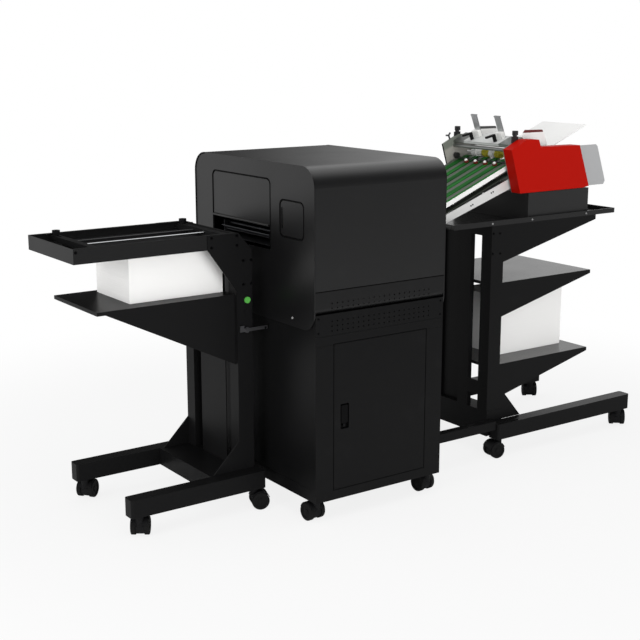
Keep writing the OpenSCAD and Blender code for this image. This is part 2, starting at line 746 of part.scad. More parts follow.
// Stacker stand: legs, base, two posts with arms, and the spine between the shelf's two slots
module stacker_frame() {
    arm_z = tray_z + tray_h;
    base_x = -213;
    foot_x = -196;
    color([0.11, 0.11, 0.12]) at_stacker() difference() {
        union() {
            both_y() {
                translate([0, stack_leg_y, 0])
                    stand_leg(leg_back - stack_leg, leg_back, [leg_back - stack_leg + 48, leg_back - 41]);
                post_tube(-stack_post, 0, slot_y, stack_half, leg_top, arm_z);
                along_y(stack_half - leg_t, stack_half) {
                    polygon([[-stack_post, arm_z], [-arm_x, arm_z], [-arm_x, tray_z], [-stack_post, tray_z - arm_drop]]);
                    polygon([[-stack_post, leg_top], [foot_x, leg_top], [-stack_post, leg_top - foot_x - stack_post]]);
                }
                // The base box runs out to the legs
                box([base_x, leg_back], [0, stack_half + 4], [leg_top - leg_t, leg_top]);
                for (x = [base_x, leg_back - leg_t]) box([x, x + leg_t], [0, stack_half + 4], [ride_h, leg_top]);
                box([-stack_post, -stack_post + leg_t], [0, slot_y + 1], [tray_z - 40, tray_z]);
            }
            box([-stack_post + 8, -stack_post + 12], [-spine_half, spine_half], [leg_top - 1, tray_z]);
            box([-stack_post, -stack_post + 12], [-spine_half, spine_half], [tray_z - 40, tray_z]);
            // Collar of the push button and the socket plate under it
            translate([button_x, 0, button_z]) rod_y(button_d / 2 + 4, -stack_half - 3, -stack_half + 1);
            box([button_x - 12, button_x + 12], [-stack_half - 2, -stack_half + 1], [button_z - 60, button_z - 36]);
        }
        // The posts' tops slope down towards the embosser
        along_y(-stack_half - 1, stack_half + 1)
            polygon([[-stack_post + 10, arm_z + 1], [10, arm_z + 1], [10, arm_z - post_slope - 12], [0, arm_z - post_slope], [-stack_post + 10, arm_z]]);
        translate([button_x, 0, button_z]) rod_y(button_d / 2 + seat_gap, -stack_half - 4, -stack_half + leg_t + 1);
        translate([latch_pivot, 0, latch_z]) rod_y(3 + run_fit, -stack_half - 1, -stack_half + leg_t + 1);
    }
}
// Sheet tray: a deep frame between the arms, with a folded floor edge and cross bars for the rods
module stacker_tray() {
    y_in = tray_half - tray_wall;
    floor_h = tray_z + 20;
    color([0.12, 0.12, 0.13]) at_stacker() difference() {
        union() {
            difference() {
                box([-tray_reach, -stack_post - 2], [-tray_half, tray_half], [tray_z, tray_z + tray_h]);
                box([-tray_reach + tray_wall, -stack_post - 2 - tray_wall], [-y_in, y_in], [tray_z - 1, tray_z + tray_h + 1]);
            }
            // Folded rim on top of the two long walls
            both_y() box([-tray_reach, -stack_post - 2], [y_in - 14, y_in + 1], [tray_z + tray_h - 3, tray_z + tray_h]);
            for (x = guide_x)
                box([x - 15, x + 15], [-y_in - 1, y_in + 1], [bar_top - 24, bar_top]);
            // Cover sheet over the stack, clear of the side guide's way
            box([-tray_reach + 1, -stack_post - 3], [-y_in - 1, guide_y - guide_travel - 16], [floor_h, floor_h + 2]);
            box([-tray_reach + 1, guide_x[0] - 34], [-y_in - 1, y_in + 1], [floor_h, floor_h + 2]);
        }
        for (y = rod_y_at) translate([0, y, bar_top - 12]) rod_x(rod_d / 2, guide_x[0] - 8, guide_x[1] + 8);
        // Slots of the side guide's clamp studs
        for (x = guide_x) box([x - stud_r - seat_gap, x + stud_r + seat_gap],
            [guide_y - guide_travel - stud_r - 1, guide_y + stud_r + 1], [bar_top - 25, bar_top + 1]);
    }
}
// Chrome guide rods seated in the tray's cross bars
module guide_rods() {
    color([0.85, 0.86, 0.88]) at_stacker() for (y = rod_y_at) translate([0, y, bar_top - 12])
        rod_x(rod_d / 2, guide_x[0] - 8, guide_x[1] + 8);
}
// Side guide: a folded fence under the cross bars, clamped by two thumb knobs through their slots
module side_guide() {
    low = bar_top - 24 - seat_gap;
    color([0.09, 0.09, 0.1]) at_stacker() {
        box([guide_x[0] - 30, guide_x[1] + 18], [guide_y - 12, guide_y + 8], [low - 3, low]);
        box([guide_x[0] - 30, guide_x[1] + 18], [guide_y - 12, guide_y - 9], [low - 20, low]);
        for (x = guide_x) translate([x, guide_y, 0]) {
            translate([0, 0, low - 1]) cylinder(r = stud_r, h = 40);
            translate([0, 0, bar_top + seat_gap]) cylinder(r = 13, h = 8);
            translate([0, 0, bar_top + seat_gap + 8]) cylinder(r = 16, h = 12);
        }
    }
}
// Lifting shelf: pan, side webs, and a carriage whose blocks run between the posts
module stack_shelf() {
    arm_y = spine_half + 22;
    low = shelf_z - shelf_t;
    color([0.13, 0.13, 0.14]) at_stacker() {
        difference() {
            box([-shelf_reach, -shelf_in], [-shelf_w / 2, shelf_w / 2], [low, shelf_z]);
            box([-shelf_reach + 3, -shelf_in - 3], [-shelf_w / 2 + 3, shelf_w / 2 - 3], [low - 1, shelf_z - 3]);
        }
        both_y() {
            along_y(shelf_w / 2 - 4, shelf_w / 2)
                polygon([[-shelf_reach + 33, low + 1], [-shelf_in, low + 1], [-shelf_in, low - shelf_drop + shelf_t]]);
            box([-shelf_in - 120, -10], [arm_y, arm_y + 6], [low - 180, low + 1]);
            box([-50, -14], [arm_y + 5, slot_y - seat_gap], [low - 180, low - 20]);
        }
        box([-40, -34], [-arm_y - 1, arm_y + 1], [low - 180, low - 20]);
    }
}
// Stack of sheets on the lifting shelf
module stacker_paper() {
    color([0.95, 0.95, 0.93]) at_stacker()
        box([-stack_paper_x - paper_l, -stack_paper_x], [stack_paper_y - paper_w / 2, stack_paper_y + paper_w / 2],
            [shelf_z, shelf_z + stack_paper_h]);
}
// Green push button with its retaining flange inside the post
module start_button() {
    color([0.2, 0.65, 0.25]) at_stacker() translate([button_x, 0, button_z]) {
        rod_y(button_d / 2, -stack_half - 8, -stack_half + leg_t + 4);
        rod_y(button_d / 2 + 2, -stack_half + leg_t + seat_gap, -stack_half + leg_t + 5);
    }
}
// Draw latch: lever and hook plate that turn on one stud and catch the cabinet's keeper
module dock_latch() {
    color([0.75, 0.76, 0.78]) at_stacker() {
        difference() {
            along_y(latch_y - 2, latch_y + 2) translate([latch_pivot, latch_z]) difference() {
                union() {
                    circle(12);
                    translate([-34, -7]) square([keeper_x - latch_pivot + 44, 14]);
                    translate([-34, -7]) square([20, 26]);
                }
                translate([keeper_x - latch_pivot, 0]) circle(3.8);
                translate([keeper_x - latch_pivot - 3.8, -20]) square([7.6, 20]);
            }
        }
        translate([latch_pivot, 0, latch_z]) {
            rod_y(3, latch_y - 5, -stack_half + leg_t + 1);
            rod_y(7, latch_y - 5, latch_y - 1.5);
            rod_y(7, latch_y + 1.5, -stack_half - seat_gap);
        }
    }
}

// Feeder stand: legs, sill, two posts with webs, centre panel and the bar that docks to the cabinet
module feeder_stand() {
    post_in = feed_half - post_w;
    x1 = feed_post;
    web_tip = 17;
    color([0.11, 0.11, 0.12]) at_feeder() {
        both_y() {
            translate([0, feed_leg_y, 0])
                stand_leg(leg_in, leg_in + feed_leg, [leg_in + 34, leg_in + feed_leg - 44]);
            post_tube(0, x1, post_in, feed_half, sill_z, table_z);
            along_y(feed_half - leg_t, feed_half) {
                polygon([[x1, table_z], [bin_reach + 20, table_z], [bin_reach + 20, table_z - web_tip - 5], [x1, table_z - 172]]);
                for (z = [bin_mid_z, bin_low_z])
                    polygon([[x1, z], [bin_reach, z], [bin_reach, z - web_tip], [x1, z - bin_drop]]);
                polygon([[x1, leg_top], [x1 + 142, leg_top], [x1 + 39, 284], [x1, 284]]);
            }
            box([0, leg_t], [post_in - 73, post_in + 1], [285, 352]);
            box([0, leg_t], [0, post_in + 1], [table_z - 50, table_z]);
            // Sill box across the legs
            box([0, x1 + 20], [0, feed_half + 2], [sill_z - leg_t, sill_z]);
            for (x = [0, x1 + 20 - leg_t]) box([x, x + leg_t], [0, feed_half], [ride_h + 5, sill_z]);
            box([0, x1 + 20], [feed_half - 1, feed_half + 2], [ride_h + 5, sill_z]);
        }
        // Centre panel with a folded channel along both edges
        box([21, 24], [-post_in + 72, post_in - 72], [sill_z - 1, table_z]);
        both_y() {
            box([0, 3], [post_in - 142, post_in - 72], [sill_z - 1, table_z]);
            box([0, 24], [post_in - 75, post_in - 72], [sill_z - 1, table_z]);
            box([0, 24], [post_in - 142, post_in - 139], [sill_z - 1, table_z]);
        }
        // Docking bar: a tube with an end plate that bears on the cabinet
        translate([0, -feed_leg_y, leg_top + 15 - dock_h]) {
            difference() {
                box([half_w - cab_half - feed_gap - (half_w - cab_half) * 2, leg_in], [-20, 20], [0, dock_h]);
                box([-feed_gap, leg_in + 1], [-17, 17], [3, dock_h - 3]);
            }
            box([leg_in, leg_in + 140], [-20, 20], [dock_h - 15, dock_h - 11]);
        }
    }
}
// Table tray and the two shelves of the feeder stand
module feeder_shelves() {
    post_in = feed_half - post_w;
    color([0.14, 0.14, 0.15]) at_feeder() {
        difference() {
            box([-table_over, table_reach], [-feed_half, feed_half], [table_z, table_z + table_lip]);
            box([-table_over + 3, table_reach - 3], [-feed_half + 3, feed_half - 3], [table_z + 3, table_z + table_lip + 1]);
            // The conveyor passes through the lip at the embosser's end
            box([-table_over - 1, -table_over + 4], [-plate_in, plate_in], [table_z + 3, table_z + table_lip + 1]);
        }
        for (z = [bin_mid_z, bin_low_z]) difference() {
            union() {
                box([feed_post, bin_reach], [-bin_w / 2, bin_w / 2], [z - shelf_t, z]);
                box([24, feed_post + 1], [-post_in, post_in], [z - shelf_t, z]);
            }
            box([27, bin_reach - 3], [-post_in + 3, post_in - 3], [z - shelf_t - 1, z - 3]);
        }
    }
}
// Stack of sheets on the lower shelf
module feeder_paper() {
    color([0.95, 0.95, 0.93]) at_feeder()
        box([bin_reach - 51 - paper_l, bin_reach - 51], [5 - paper_w / 2, 5 + paper_w / 2], [bin_low_z, bin_low_z + feed_paper_h]);
}
// Pedestal box under the sheet feeder
module feeder_pedestal() {
    y = cover_out;
    low = table_z + 3;
    color([0.14, 0.14, 0.15]) at_feeder() difference() {
        box([pedestal_x, pedestal_x + pedestal_l], [-y, y], [low, pedestal_z]);
        box([pedestal_x + 3, pedestal_x + pedestal_l - 3], [-y + 3, y - 3], [low - 1, pedestal_z - 3]);
    }
}
// Side outline of the feeder as [x, z]: leaning ends, a chamfered nose and a stepped top
function feeder_side(grow) = [
    [186 - grow, pedestal_z + 2], [123 - grow, pedestal_z + cover_h], [218 - grow, pedestal_z + cover_h + 44],
    [295, pedestal_z + cover_h + 41], [308, pedestal_z + cover_h + 6], [567, pedestal_z + cover_h + 3],
    [641, pedestal_z + 8], [600, pedestal_z + 2]];
// Aluminium side plates on the pedestal, joined by the gate bridge and two tie rods
module feeder_side_plates() {
    color([0.78, 0.79, 0.8]) {
        at_feeder() difference() {
            union() {
                along_y(plate_in, plate_out) polygon(feeder_side(18));
                along_y(-plate_out, -plate_in) polygon(feeder_side(-near_in));
                both_y() along_y(plate_in, plate_out) translate([200, pedestal_z]) square([380, 4]);
                for (p = [[330, 1300], [520, 1300], [330, 1250]]) translate([p[0], 0, p[1]]) rod_y(7, -plate_in - 1, plate_in + 1);
            }
            translate([belt_x, 0, belt_z]) rotate([0, -tilt, 0]) {
                translate([head_s, 0, -drive_r - belt_t]) rod_y(6 + run_fit, -plate_out - 1, plate_out + 1);
                translate([wheel_shaft[0], 0, wheel_shaft[1]]) rod_y(6 + run_fit, -plate_out - 1, plate_out + 1);
            }
        }
        on_slope() {
            // Two cross bars under the bridge
            for (p = [[41, 86], [30, 69]]) translate([p[0], 0, p[1]]) rod_y(8, -plate_in - 1, plate_in + 1);
            difference() {
                union() {
                    box([34, 120], [-plate_in - 1, plate_in + 1], [bridge_n, bridge_n + bridge_t]);
                    // Clamp blocks in front of the gate bars
                    for (y = [-1, 1]) translate([gate_s, y * bar_gap / 2, bridge_n + bridge_t - 1])
                        box([-bar_t / 2 - 20, -bar_t / 2 - seat_gap], [-bar_w / 2 - 5, bar_w / 2 + 5], [0, 32]);
                }
                for (y = [-1, 1]) translate([gate_s, y * bar_gap / 2, bridge_n - 5])
                    box([-bar_t / 2 - seat_gap, bar_t / 2 + seat_gap], [-bar_w / 2 - seat_gap, bar_w / 2 + seat_gap], [0, 50]);
                for (y = [-1, 1]) translate([lever_s, y * bar_gap / 2, bridge_n - 15]) cylinder(r = 4 + run_fit, h = 30);
            }
        }
    }
}
// Red cover outside the near side plate, open towards it
module feeder_covers() {
    color([0.72, 0.07, 0.04]) at_feeder() mirror([0, 1, 0]) difference() {
        along_y(plate_out, cover_out) polygon(feeder_side(0));
        along_y(plate_out - 1, cover_out - cover_t) offset(delta = -cover_t) polygon(feeder_side(0));
        // Slot for the smoked plate
        box([460, 700], [plate_out - 1, plate_out + 4 + slip_gap], [smoke_z - 2, smoke_z + smoke_h + 2]);
    }
}
// Hopper: sloping rest, its two side guides and the smoked side plates
module hopper_plates() {
    guide_y = paper_w / 2 + 4;
    rest_n = -50;
    color([0.88, 0.88, 0.88]) {
        on_slope() {
            box([150, 577], [-paper_w / 2, paper_w / 2], [rest_n, rest_n + 3]);
            both_y() {
                // Foot of a guide, which reaches the rest and the side plate
                box([160, 300], [paper_w / 2 - 1, plate_in], [rest_n, rest_n + 3]);
            }
        }
        at_feeder() both_y() along_y(guide_y, guide_y + 14)
            polygon([[340, guide_z - 150], [285, guide_z - 118], [283, guide_z - 68], [272, guide_z - 31], [306, guide_z],
                [408, guide_z - 2], [418, guide_z - 20], [441, guide_z - 66], [441, guide_z - 120]]);
        at_feeder() both_y() along_y(plate_out, plate_out + 4)
            translate([0, smoke_z]) polygon([[480, 30], [480, smoke_h - 30], [560, smoke_h], [735, smoke_h],
                [747, smoke_h - 10], [810, 17], [800, 0], [560, 0]]);
    }
}
// Conveyor: side rails, the bed under the belts with white edges, ties, nose bar and table bracket
module conveyor_frame() {
    s0 = head_s + drive_r + belt_t - conv_l;
    low = -2 * (drive_r + belt_t);
    tie_s = [s0 + 60, -420, -180];
    foot_x = -195;
    color([0.85, 0.86, 0.86]) {
        on_slope() {
            both_y() {
                difference() {
                    along_y(rail_in, rail_in + 4)
                        polygon([[s0 + 8, low - 18], [s0 + 8, low + 10], [head_s + 22, low - 17], [head_s + 22, low - 66]]);
                    // Pairs of fixing holes
                    for (s = [-272, -260, -139, -127]) translate([s, 0, low - 26]) rod_y(2.5, rail_in - 1, rail_in + 5);
                }
                box([s0 + 24, head_s - 26], [rail_in - 4, rail_in - 1], [bed_top - 9, 8]);
                // Links from the bed to the tie rods, between two belts
                for (s = tie_s) box([s - 8, s + 8], [2 * belt_pitch - 2, 2 * belt_pitch + 2], [low - 14, bed_top - 1]);
            }
            box([s0 + 24, head_s - 26], [-rail_in + 2, rail_in - 2], [bed_top - 3, bed_top]);
            for (s = tie_s) translate([s, 0, low - 14]) rod_y(8, -rail_in - 1, rail_in + 1);
            // Fixed nose that the belts turn round at the embosser
            translate([s0 + drive_r + belt_t, 0, -drive_r - belt_t])
                rod_y(drive_r - seat_gap, -rail_in - 1, rail_in + 1);
            // Spacers to the feeder's side plates
            both_y() box([head_s - 40, head_s + 18], [rail_in + 3, plate_in], [low - 50, low - 20]);
        }
        // Two feet from the middle tie rod to the table
        at_feeder() for (y = [80, 165]) {
            box([foot_x - 30, foot_x + 30], [y - 12, y + 12], [table_z + 3, table_z + 6]);
            box([foot_x - 12, foot_x + 12], [y - 3, y + 3], [table_z + 4, table_z + 46]);
        }
    }
}
// Belts: closed loops round the drive roller and the nose
module conveyor_belts() {
    s1 = head_s;
    s0 = head_s + 2 * (drive_r + belt_t) - conv_l;
    color([0.1, 0.42, 0.2]) on_slope() for (i = [0:belt_n - 1])
        translate([0, (i - (belt_n - 1) / 2) * belt_pitch, -drive_r - belt_t])
            along_y(-belt_w / 2, belt_w / 2) difference() {
                belt_run(s0, s1, drive_r + belt_t);
                belt_run(s0, s1, drive_r);
            }
}
module belt_run(s0, s1, r) {
    translate([s0, 0]) circle(r);
    translate([s1, 0]) circle(r);
    translate([s0, -r]) square([s1 - s0, 2 * r]);
}
// Drive roller inside the belts, on journals in the rails and the side plates
module drive_roller() {
    color([0.55, 0.56, 0.58]) on_slope() translate([head_s, 0, -drive_r - belt_t]) {
        rod_y(drive_r - seat_gap, -rail_in + 6, rail_in - 6);
        rod_y(6, -plate_out - 8, plate_out + 8);
    }
}
// Feed wheels on one shaft over the upper end of the belts
module feed_wheels() {
    color([0.9, 0.9, 0.86]) on_slope() translate([wheel_shaft[0], 0, wheel_shaft[1]]) {
        rod_y(6, -plate_out - 8, plate_out + 8);
        rod_y(feed_wheel_r - 6, -50, 160);
        for (y = [-27, 13, 56, 135]) rod_y(feed_wheel_r, y - 16, y + 16);
    }
}
// Hold-down rod with four balls in cups, and the black clamp blocks that sit over the plates' noses
module hold_downs() {
    cup_r = ball_d / 2 + 3;
    color([0.1, 0.1, 0.1]) difference() {
        on_slope() {
            translate([cup_r + 2, 0, 12]) rod_y(3.5, -plate_in, plate_in);
            // Round setting knob inside the far plate
            translate([16, 0, 24]) {
                rod_y(5, plate_in - 20, plate_in);
                rod_y(13, plate_in - 26, plate_in - 8);
            }
            for (y = [-1.5, -0.5, 0.5, 1.5]) translate([0, y * belt_pitch, 0]) rotate_extrude() intersection() {
                union() {
                    translate([0, ball_d / 2 + 3]) circle(ball_d / 2);
                    translate([0, 1]) square([cup_r, 9]);
                }
                square([cup_r, 2 * ball_d]);
            }
            both_y() translate([66, plate_in, bridge_n + 10]) rotate([0, tilt, 0]) {
                box([-19, 17], [0.5, plate_t - 0.5], [-6, 24]);
                translate([-1, plate_t / 2, 23]) cylinder(r = 10, h = 14);
                translate([1, plate_t / 2, 30]) cylinder(r = 14, h = 20);
            }
        }
        at_feeder() along_y(plate_in, plate_out) polygon(feeder_side(18));
        at_feeder() along_y(-plate_out, -plate_in) polygon(feeder_side(-near_in));
    }
}
// Two flat gate bars joined by the gate shoe that sets the sheet gap
module gate_bars() {
    low = 52;
    color([0.7, 0.71, 0.73]) on_slope() translate([gate_s, 0, 0]) {
        for (y = [-1, 1]) translate([0, y * bar_gap / 2, low]) {
            box([-bar_t / 2, bar_t / 2], [-bar_w / 2, bar_w / 2], [0, bar_l]);
            box([-bar_t / 2 - 1.5, bar_t / 2 + 1.5], [-bar_w / 2 - 2, bar_w / 2 + 2], [bar_l - 4, bar_l]);
        }
        box([-bar_t / 2, bar_t / 2], [-bar_gap / 2, bar_gap / 2], [low, low + 14]);
    }
}
// Clamp lever: boss, stud and arm, which locks a gate bar on the bridge
module clamp_lever(side) {
    top = bridge_n + bridge_t;
    color([0.06, 0.06, 0.06]) on_slope() translate([lever_s, side * bar_gap / 2, top + seat_gap]) {
        translate([0, 0, -14]) cylinder(r = 4, h = 20);
        cylinder(r = 9, h = 34);
        translate([0, 0, 27]) rotate([0, 10, 0]) box([-50, 0], [-6, 6], [0, 9]);
    }
}
module clamp_lever_1() { clamp_lever(-1); }
module clamp_lever_2() { clamp_lever(1); }

// Caster body: swivel stem, neck and the drum between the wheels
module caster(i) {
    color([0.08, 0.08, 0.09]) translate(concat(caster_at[i], [0])) rotate(caster_turn[i]) difference() {
        union() {
            translate([0, 0, neck_top - 1]) cylinder(r = stem_r, h = stem_l + 1);
            translate([0, 0, wheel_r + 8]) cylinder(r = neck_r, h = neck_top - wheel_r - 8);
            translate([caster_trail, 0, wheel_r]) rod_y(wheel_r - 4, -caster_w / 2, caster_w / 2);
            // Hood over both wheels
            translate([caster_trail, 0, wheel_r]) along_y(-hood_half_w, hood_half_w) intersection() {
                difference() {
                    circle(wheel_r + 4);
                    circle(wheel_r + 1.2);
                }
                translate([-wheel_d, 14]) square([2 * wheel_d, wheel_d]);
            }
        }
        translate([caster_trail, 0, wheel_r]) rod_y(axle_r + run_fit, -caster_w / 2 - 1, caster_w / 2 + 1);
    }
}
// Wheel pair: two domed wheels on one axle
module wheels(i) {
    inner = caster_w / 2 + seat_gap;
    color([0.07, 0.07, 0.07]) translate(concat(caster_at[i], [0])) rotate(caster_turn[i])
        translate([caster_trail, 0, wheel_r]) {
            rod_y(axle_r, -inner - 2, inner + 2);
            both_y() translate([0, inner, 0]) rotate([-90, 0, 0]) rotate_extrude() difference() {
                union() {
                    square([wheel_r - 4, wheel_w]);
                    square([wheel_r, wheel_w - 4]);
                    translate([wheel_r - 4, wheel_w - 4]) circle(4);
                }
                translate([12, wheel_w - 2.5]) square([14, 3]);
                translate([-5, -1]) square([5, wheel_w + 2]);
            }
        }
}

cabinet_body();
cabinet_panels();
cabinet_door();
door_handle();
door_lock();
head_shell();
head_cheeks();
hood();
output_flap();
access_door();
emboss_frame();
lower_emboss_roller();
upper_emboss_roller();
stacker_frame();
stacker_tray();
guide_rods();
side_guide();
stack_shelf();
stacker_paper();
start_button();
dock_latch();
feeder_stand();
feeder_shelves();
feeder_paper();
feeder_pedestal();
feeder_side_plates();
feeder_covers();
hopper_plates();
conveyor_frame();
conveyor_belts();
drive_roller();
feed_wheels();
hold_downs();
gate_bars();
clamp_lever_1();
clamp_lever_2();
for (i = [1:12]) caster(i - 1);
for (i = [1:12]) wheels(i - 1);
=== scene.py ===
import json
import math

import bpy
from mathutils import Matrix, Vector

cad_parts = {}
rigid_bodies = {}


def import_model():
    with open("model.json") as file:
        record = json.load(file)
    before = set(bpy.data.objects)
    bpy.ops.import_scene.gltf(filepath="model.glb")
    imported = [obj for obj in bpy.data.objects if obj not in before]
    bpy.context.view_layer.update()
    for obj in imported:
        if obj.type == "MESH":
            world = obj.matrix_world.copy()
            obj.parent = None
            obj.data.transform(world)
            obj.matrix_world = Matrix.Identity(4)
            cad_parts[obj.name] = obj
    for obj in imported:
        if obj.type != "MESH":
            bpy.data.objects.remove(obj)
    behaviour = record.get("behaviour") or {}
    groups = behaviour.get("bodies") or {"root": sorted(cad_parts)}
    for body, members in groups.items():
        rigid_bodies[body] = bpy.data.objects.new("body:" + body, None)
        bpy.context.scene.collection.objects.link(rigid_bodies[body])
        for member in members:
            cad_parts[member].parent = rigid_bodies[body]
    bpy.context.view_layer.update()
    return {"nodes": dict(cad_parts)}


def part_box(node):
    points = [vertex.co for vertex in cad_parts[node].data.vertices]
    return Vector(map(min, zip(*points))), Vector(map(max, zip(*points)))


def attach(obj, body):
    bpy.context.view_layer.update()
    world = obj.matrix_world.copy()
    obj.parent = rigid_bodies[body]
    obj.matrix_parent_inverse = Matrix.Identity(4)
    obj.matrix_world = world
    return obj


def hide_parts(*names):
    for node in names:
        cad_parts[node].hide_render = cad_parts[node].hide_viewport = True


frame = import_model()

# Camera.
# A long lens from the front left, a little above the hood, looking down on the whole line.
# The numbers come from fitting the edges of the cabinet and the head to the photo.
yaw = math.radians(35.1113)
pitch = math.radians(12.8263)
look = Vector((math.sin(yaw) * math.cos(pitch), math.cos(yaw) * math.cos(pitch), -math.sin(pitch)))
lens = bpy.data.cameras.new("photo_lens")
lens.sensor_width = 36.0
lens.lens = 68.36
lens.clip_end = 60.0
camera = bpy.data.objects.new("photo_camera", lens)
camera.location = (-3.2516, -4.2425, 1.9036)
camera.rotation_euler = look.to_track_quat("-Z", "Y").to_euler()
shown = bpy.context.scene.collection.objects
shown.link(camera)
bpy.context.scene.camera = camera
bpy.context.scene.view_settings.view_transform = "Standard"


# Studio.
# A white floor that keeps a soft shadow, a softbox overhead, one at the left and a low fill in front. Coats
# mirror bright walls right and far left with a dark stretch between, a lit ceiling and a dark gap in front.
class Value:
    """A socket that takes part in sums: each operator adds the Math node that works it out."""

    def __init__(self, finish, socket):
        self.finish = finish
        self.socket = socket

    def math(self, operation, *others):
        terms = {str(i): term for i, term in enumerate((self,) + others)}
        return self.finish.add("ShaderNodeMath", {"operation": operation}, **terms)

    def __add__(self, other):
        return self.math("ADD", other)

    def __radd__(self, other):
        return self.math("ADD", other)

    def __sub__(self, other):
        return self.math("SUBTRACT", other)

    def __rsub__(self, other):
        return self.finish.add("ShaderNodeMath", {"operation": "SUBTRACT"}, **{"0": other, "1": self})

    def __mul__(self, other):
        return self.math("MULTIPLY", other)

    def __rmul__(self, other):
        return self.math("MULTIPLY", other)

    def __gt__(self, other):
        return self.math("GREATER_THAN", other)

    def __lt__(self, other):
        return self.math("LESS_THAN", other)

    def between(self, low, high):
        """0 below low, 1 above high, a smooth step between them."""
        return self.finish.add("ShaderNodeMapRange", {"interpolation_type": "SMOOTHSTEP"},
                               Value=self, **{"From Min": low, "From Max": high})


class Shading:
    """A shader tree; add() makes any node from its type, settings and sockets."""

    def __init__(self, tree):
        self.tree = tree

    def put(self, socket, value):
        if isinstance(value, Value):
            self.tree.links.new(value.socket, socket)
        else:
            socket.default_value = value

    def add(self, kind, settings=None, output=0, **inputs):
        node = self.tree.nodes.new(kind)
        for key, value in (settings or {}).items():
            setattr(node, key, value)
        for key, value in inputs.items():
            self.put(node.inputs[int(key) if key.isdigit() else key.replace("_", " ")], value)
        return Value(self, node.outputs[output])


class Finish(Shading):
    """A material, with the patterns that its pieces share."""

    def __init__(self, name, **constants):
        self.material = bpy.data.materials.new(name)
        self.material.use_nodes = True
        super().__init__(self.material.node_tree)
        self.shader = self.tree.nodes["Principled BSDF"]
        self.shade(**constants)

    def shade(self, **inputs):
        for key, value in inputs.items():
            self.put(self.shader.inputs[key.replace("_", " ")], value)

    def place(self):
        """The point on the piece, in the part's own frame."""
        return self.add("ShaderNodeTexCoord", output=3)

    def axis(self, which):
        return self.add("ShaderNodeSeparateXYZ", output="XYZ".index(which), Vector=self.place())

    def noise(self, scale, detail=2.0, stretch=(1, 1, 1)):
        spot = self.add("ShaderNodeMapping", Vector=self.place(), Scale=stretch)
        return self.add("ShaderNodeTexNoise", Vector=spot, Scale=scale, Detail=detail)

    def mix(self, mask, first, second):
        return self.add("ShaderNodeMix", {"data_type": "RGBA"}, output=2,
                        **{"0": mask, "6": first, "7": second})

    def bump(self, height, strength, distance):
        return self.add("ShaderNodeBump", Height=height, Strength=strength, Distance=distance)


def lamp(name, place, target, size, watts):
    """A soft area lamp that lights the machine and is not mirrored in its coats."""
    light = bpy.data.lights.new(name, "AREA")
    light.shape = "RECTANGLE"
    light.size, light.size_y = size
    light.energy = watts
    holder = bpy.data.objects.new(name, light)
    holder.location = place
    holder.rotation_euler = (Vector(target) - Vector(place)).to_track_quat("-Z", "Y").to_euler()
    holder.visible_glossy = False
    shown.link(holder)


lamp("overhead_softbox", place=(-0.4, -0.4, 5.2), target=(0, 0, 0.6), size=(6.0, 4.5), watts=125)
lamp("left_softbox", place=(-5.4, -0.9, 1.5), target=(-0.6, 0, 0.9), size=(2.4, 2.4), watts=118)
lamp("front_fill", place=(-1.2, -6.2, 1.3), target=(0.0, 0, 0.8), size=(4.0, 2.6), watts=224)

world = bpy.data.worlds.new("studio")
world.use_nodes = True
bpy.context.scene.world = world
air = Shading(world.node_tree)
bearing = air.add("ShaderNodeTexCoord", output=0)


def towards(direction):
    """How far a mirrored ray points along one direction, from -1 to 1."""
    return air.add("ShaderNodeVectorMath", {"operation": "DOT_PRODUCT"}, output=1,
                   **{"0": bearing, "1": direction})


away, right = (0.57, 0.82, 0.0), (0.82, -0.57, 0.0)
gap_direction, ceiling_direction = (0.56, -0.775, 0.29), (0.56, 0.20, 0.80)
behind = 0.68 + 0.32 * towards(away).between(-0.2, 0.5)
rightward = towards(right)
leftward = 0 - rightward
wall = 0.03 + 0.97 * rightward.between(-0.10, 0.20) + 0.82 * leftward.between(0.45, 0.80)
front_gap = 1 - 0.95 * towards(gap_direction).between(0.80, 1.0)
ceiling = 0.8 * towards(ceiling_direction).between(0.75, 0.98)
backdrop = behind * wall * front_gap + ceiling

camera_ray, glossy_ray, transmission_ray = 0, 3, 6
direct = air.add("ShaderNodeLightPath", output=camera_ray)
mirrored = air.add("ShaderNodeLightPath", output=glossy_ray)
through = air.add("ShaderNodeLightPath", output=transmission_ray)
plain = direct.math("MAXIMUM", through)
room_light = 0.58
background = air.tree.nodes["Background"].inputs
air.put(background["Color"], (1, 1, 1, 1))
air.put(background["Strength"], plain + (1 - plain) * (room_light * (1 - mirrored) + backdrop * mirrored))

floor_reach = 4
floor_corners = [(-floor_reach, -floor_reach, 0), (floor_reach, -floor_reach, 0),
                 (floor_reach, floor_reach, 0), (-floor_reach, floor_reach, 0)]
floor_mesh = bpy.data.meshes.new("studio_floor")
floor_mesh.from_pydata(floor_corners, [], [(0, 1, 2, 3)])
floor = bpy.data.objects.new("studio_floor", floor_mesh)
shown.link(floor)
white_floor = Finish("white_floor", Base_Color=(0.62, 0.62, 0.62, 1), Roughness=0.9, Specular_IOR_Level=0.0)
glare = white_floor.add("ShaderNodeEmission", Color=(1, 1, 1, 1), Strength=1.0)
spread = white_floor.add("ShaderNodeVectorMath", {"operation": "LENGTH"}, output=1,
                         **{"0": white_floor.place()})
seen = white_floor.add("ShaderNodeLightPath", output=camera_ray)
far_white = seen * (0.84 + 0.16 * spread.between(1.6, 3.4))
lit_floor = Value(white_floor, white_floor.shader.outputs[0])
white_mix = white_floor.add("ShaderNodeMixShader", **{"0": far_white, "1": lit_floor, "2": glare})
white_floor.put(white_floor.tree.nodes["Material Output"].inputs["Surface"], white_mix)
floor_mesh.materials.append(white_floor.material)


# Cabinet.
# Folded steel sheet, powder coated satin black inside and out: body, front vent strip and back panel
# screwed to it, and the door as a pan on two pivots.
nodes = frame["nodes"]


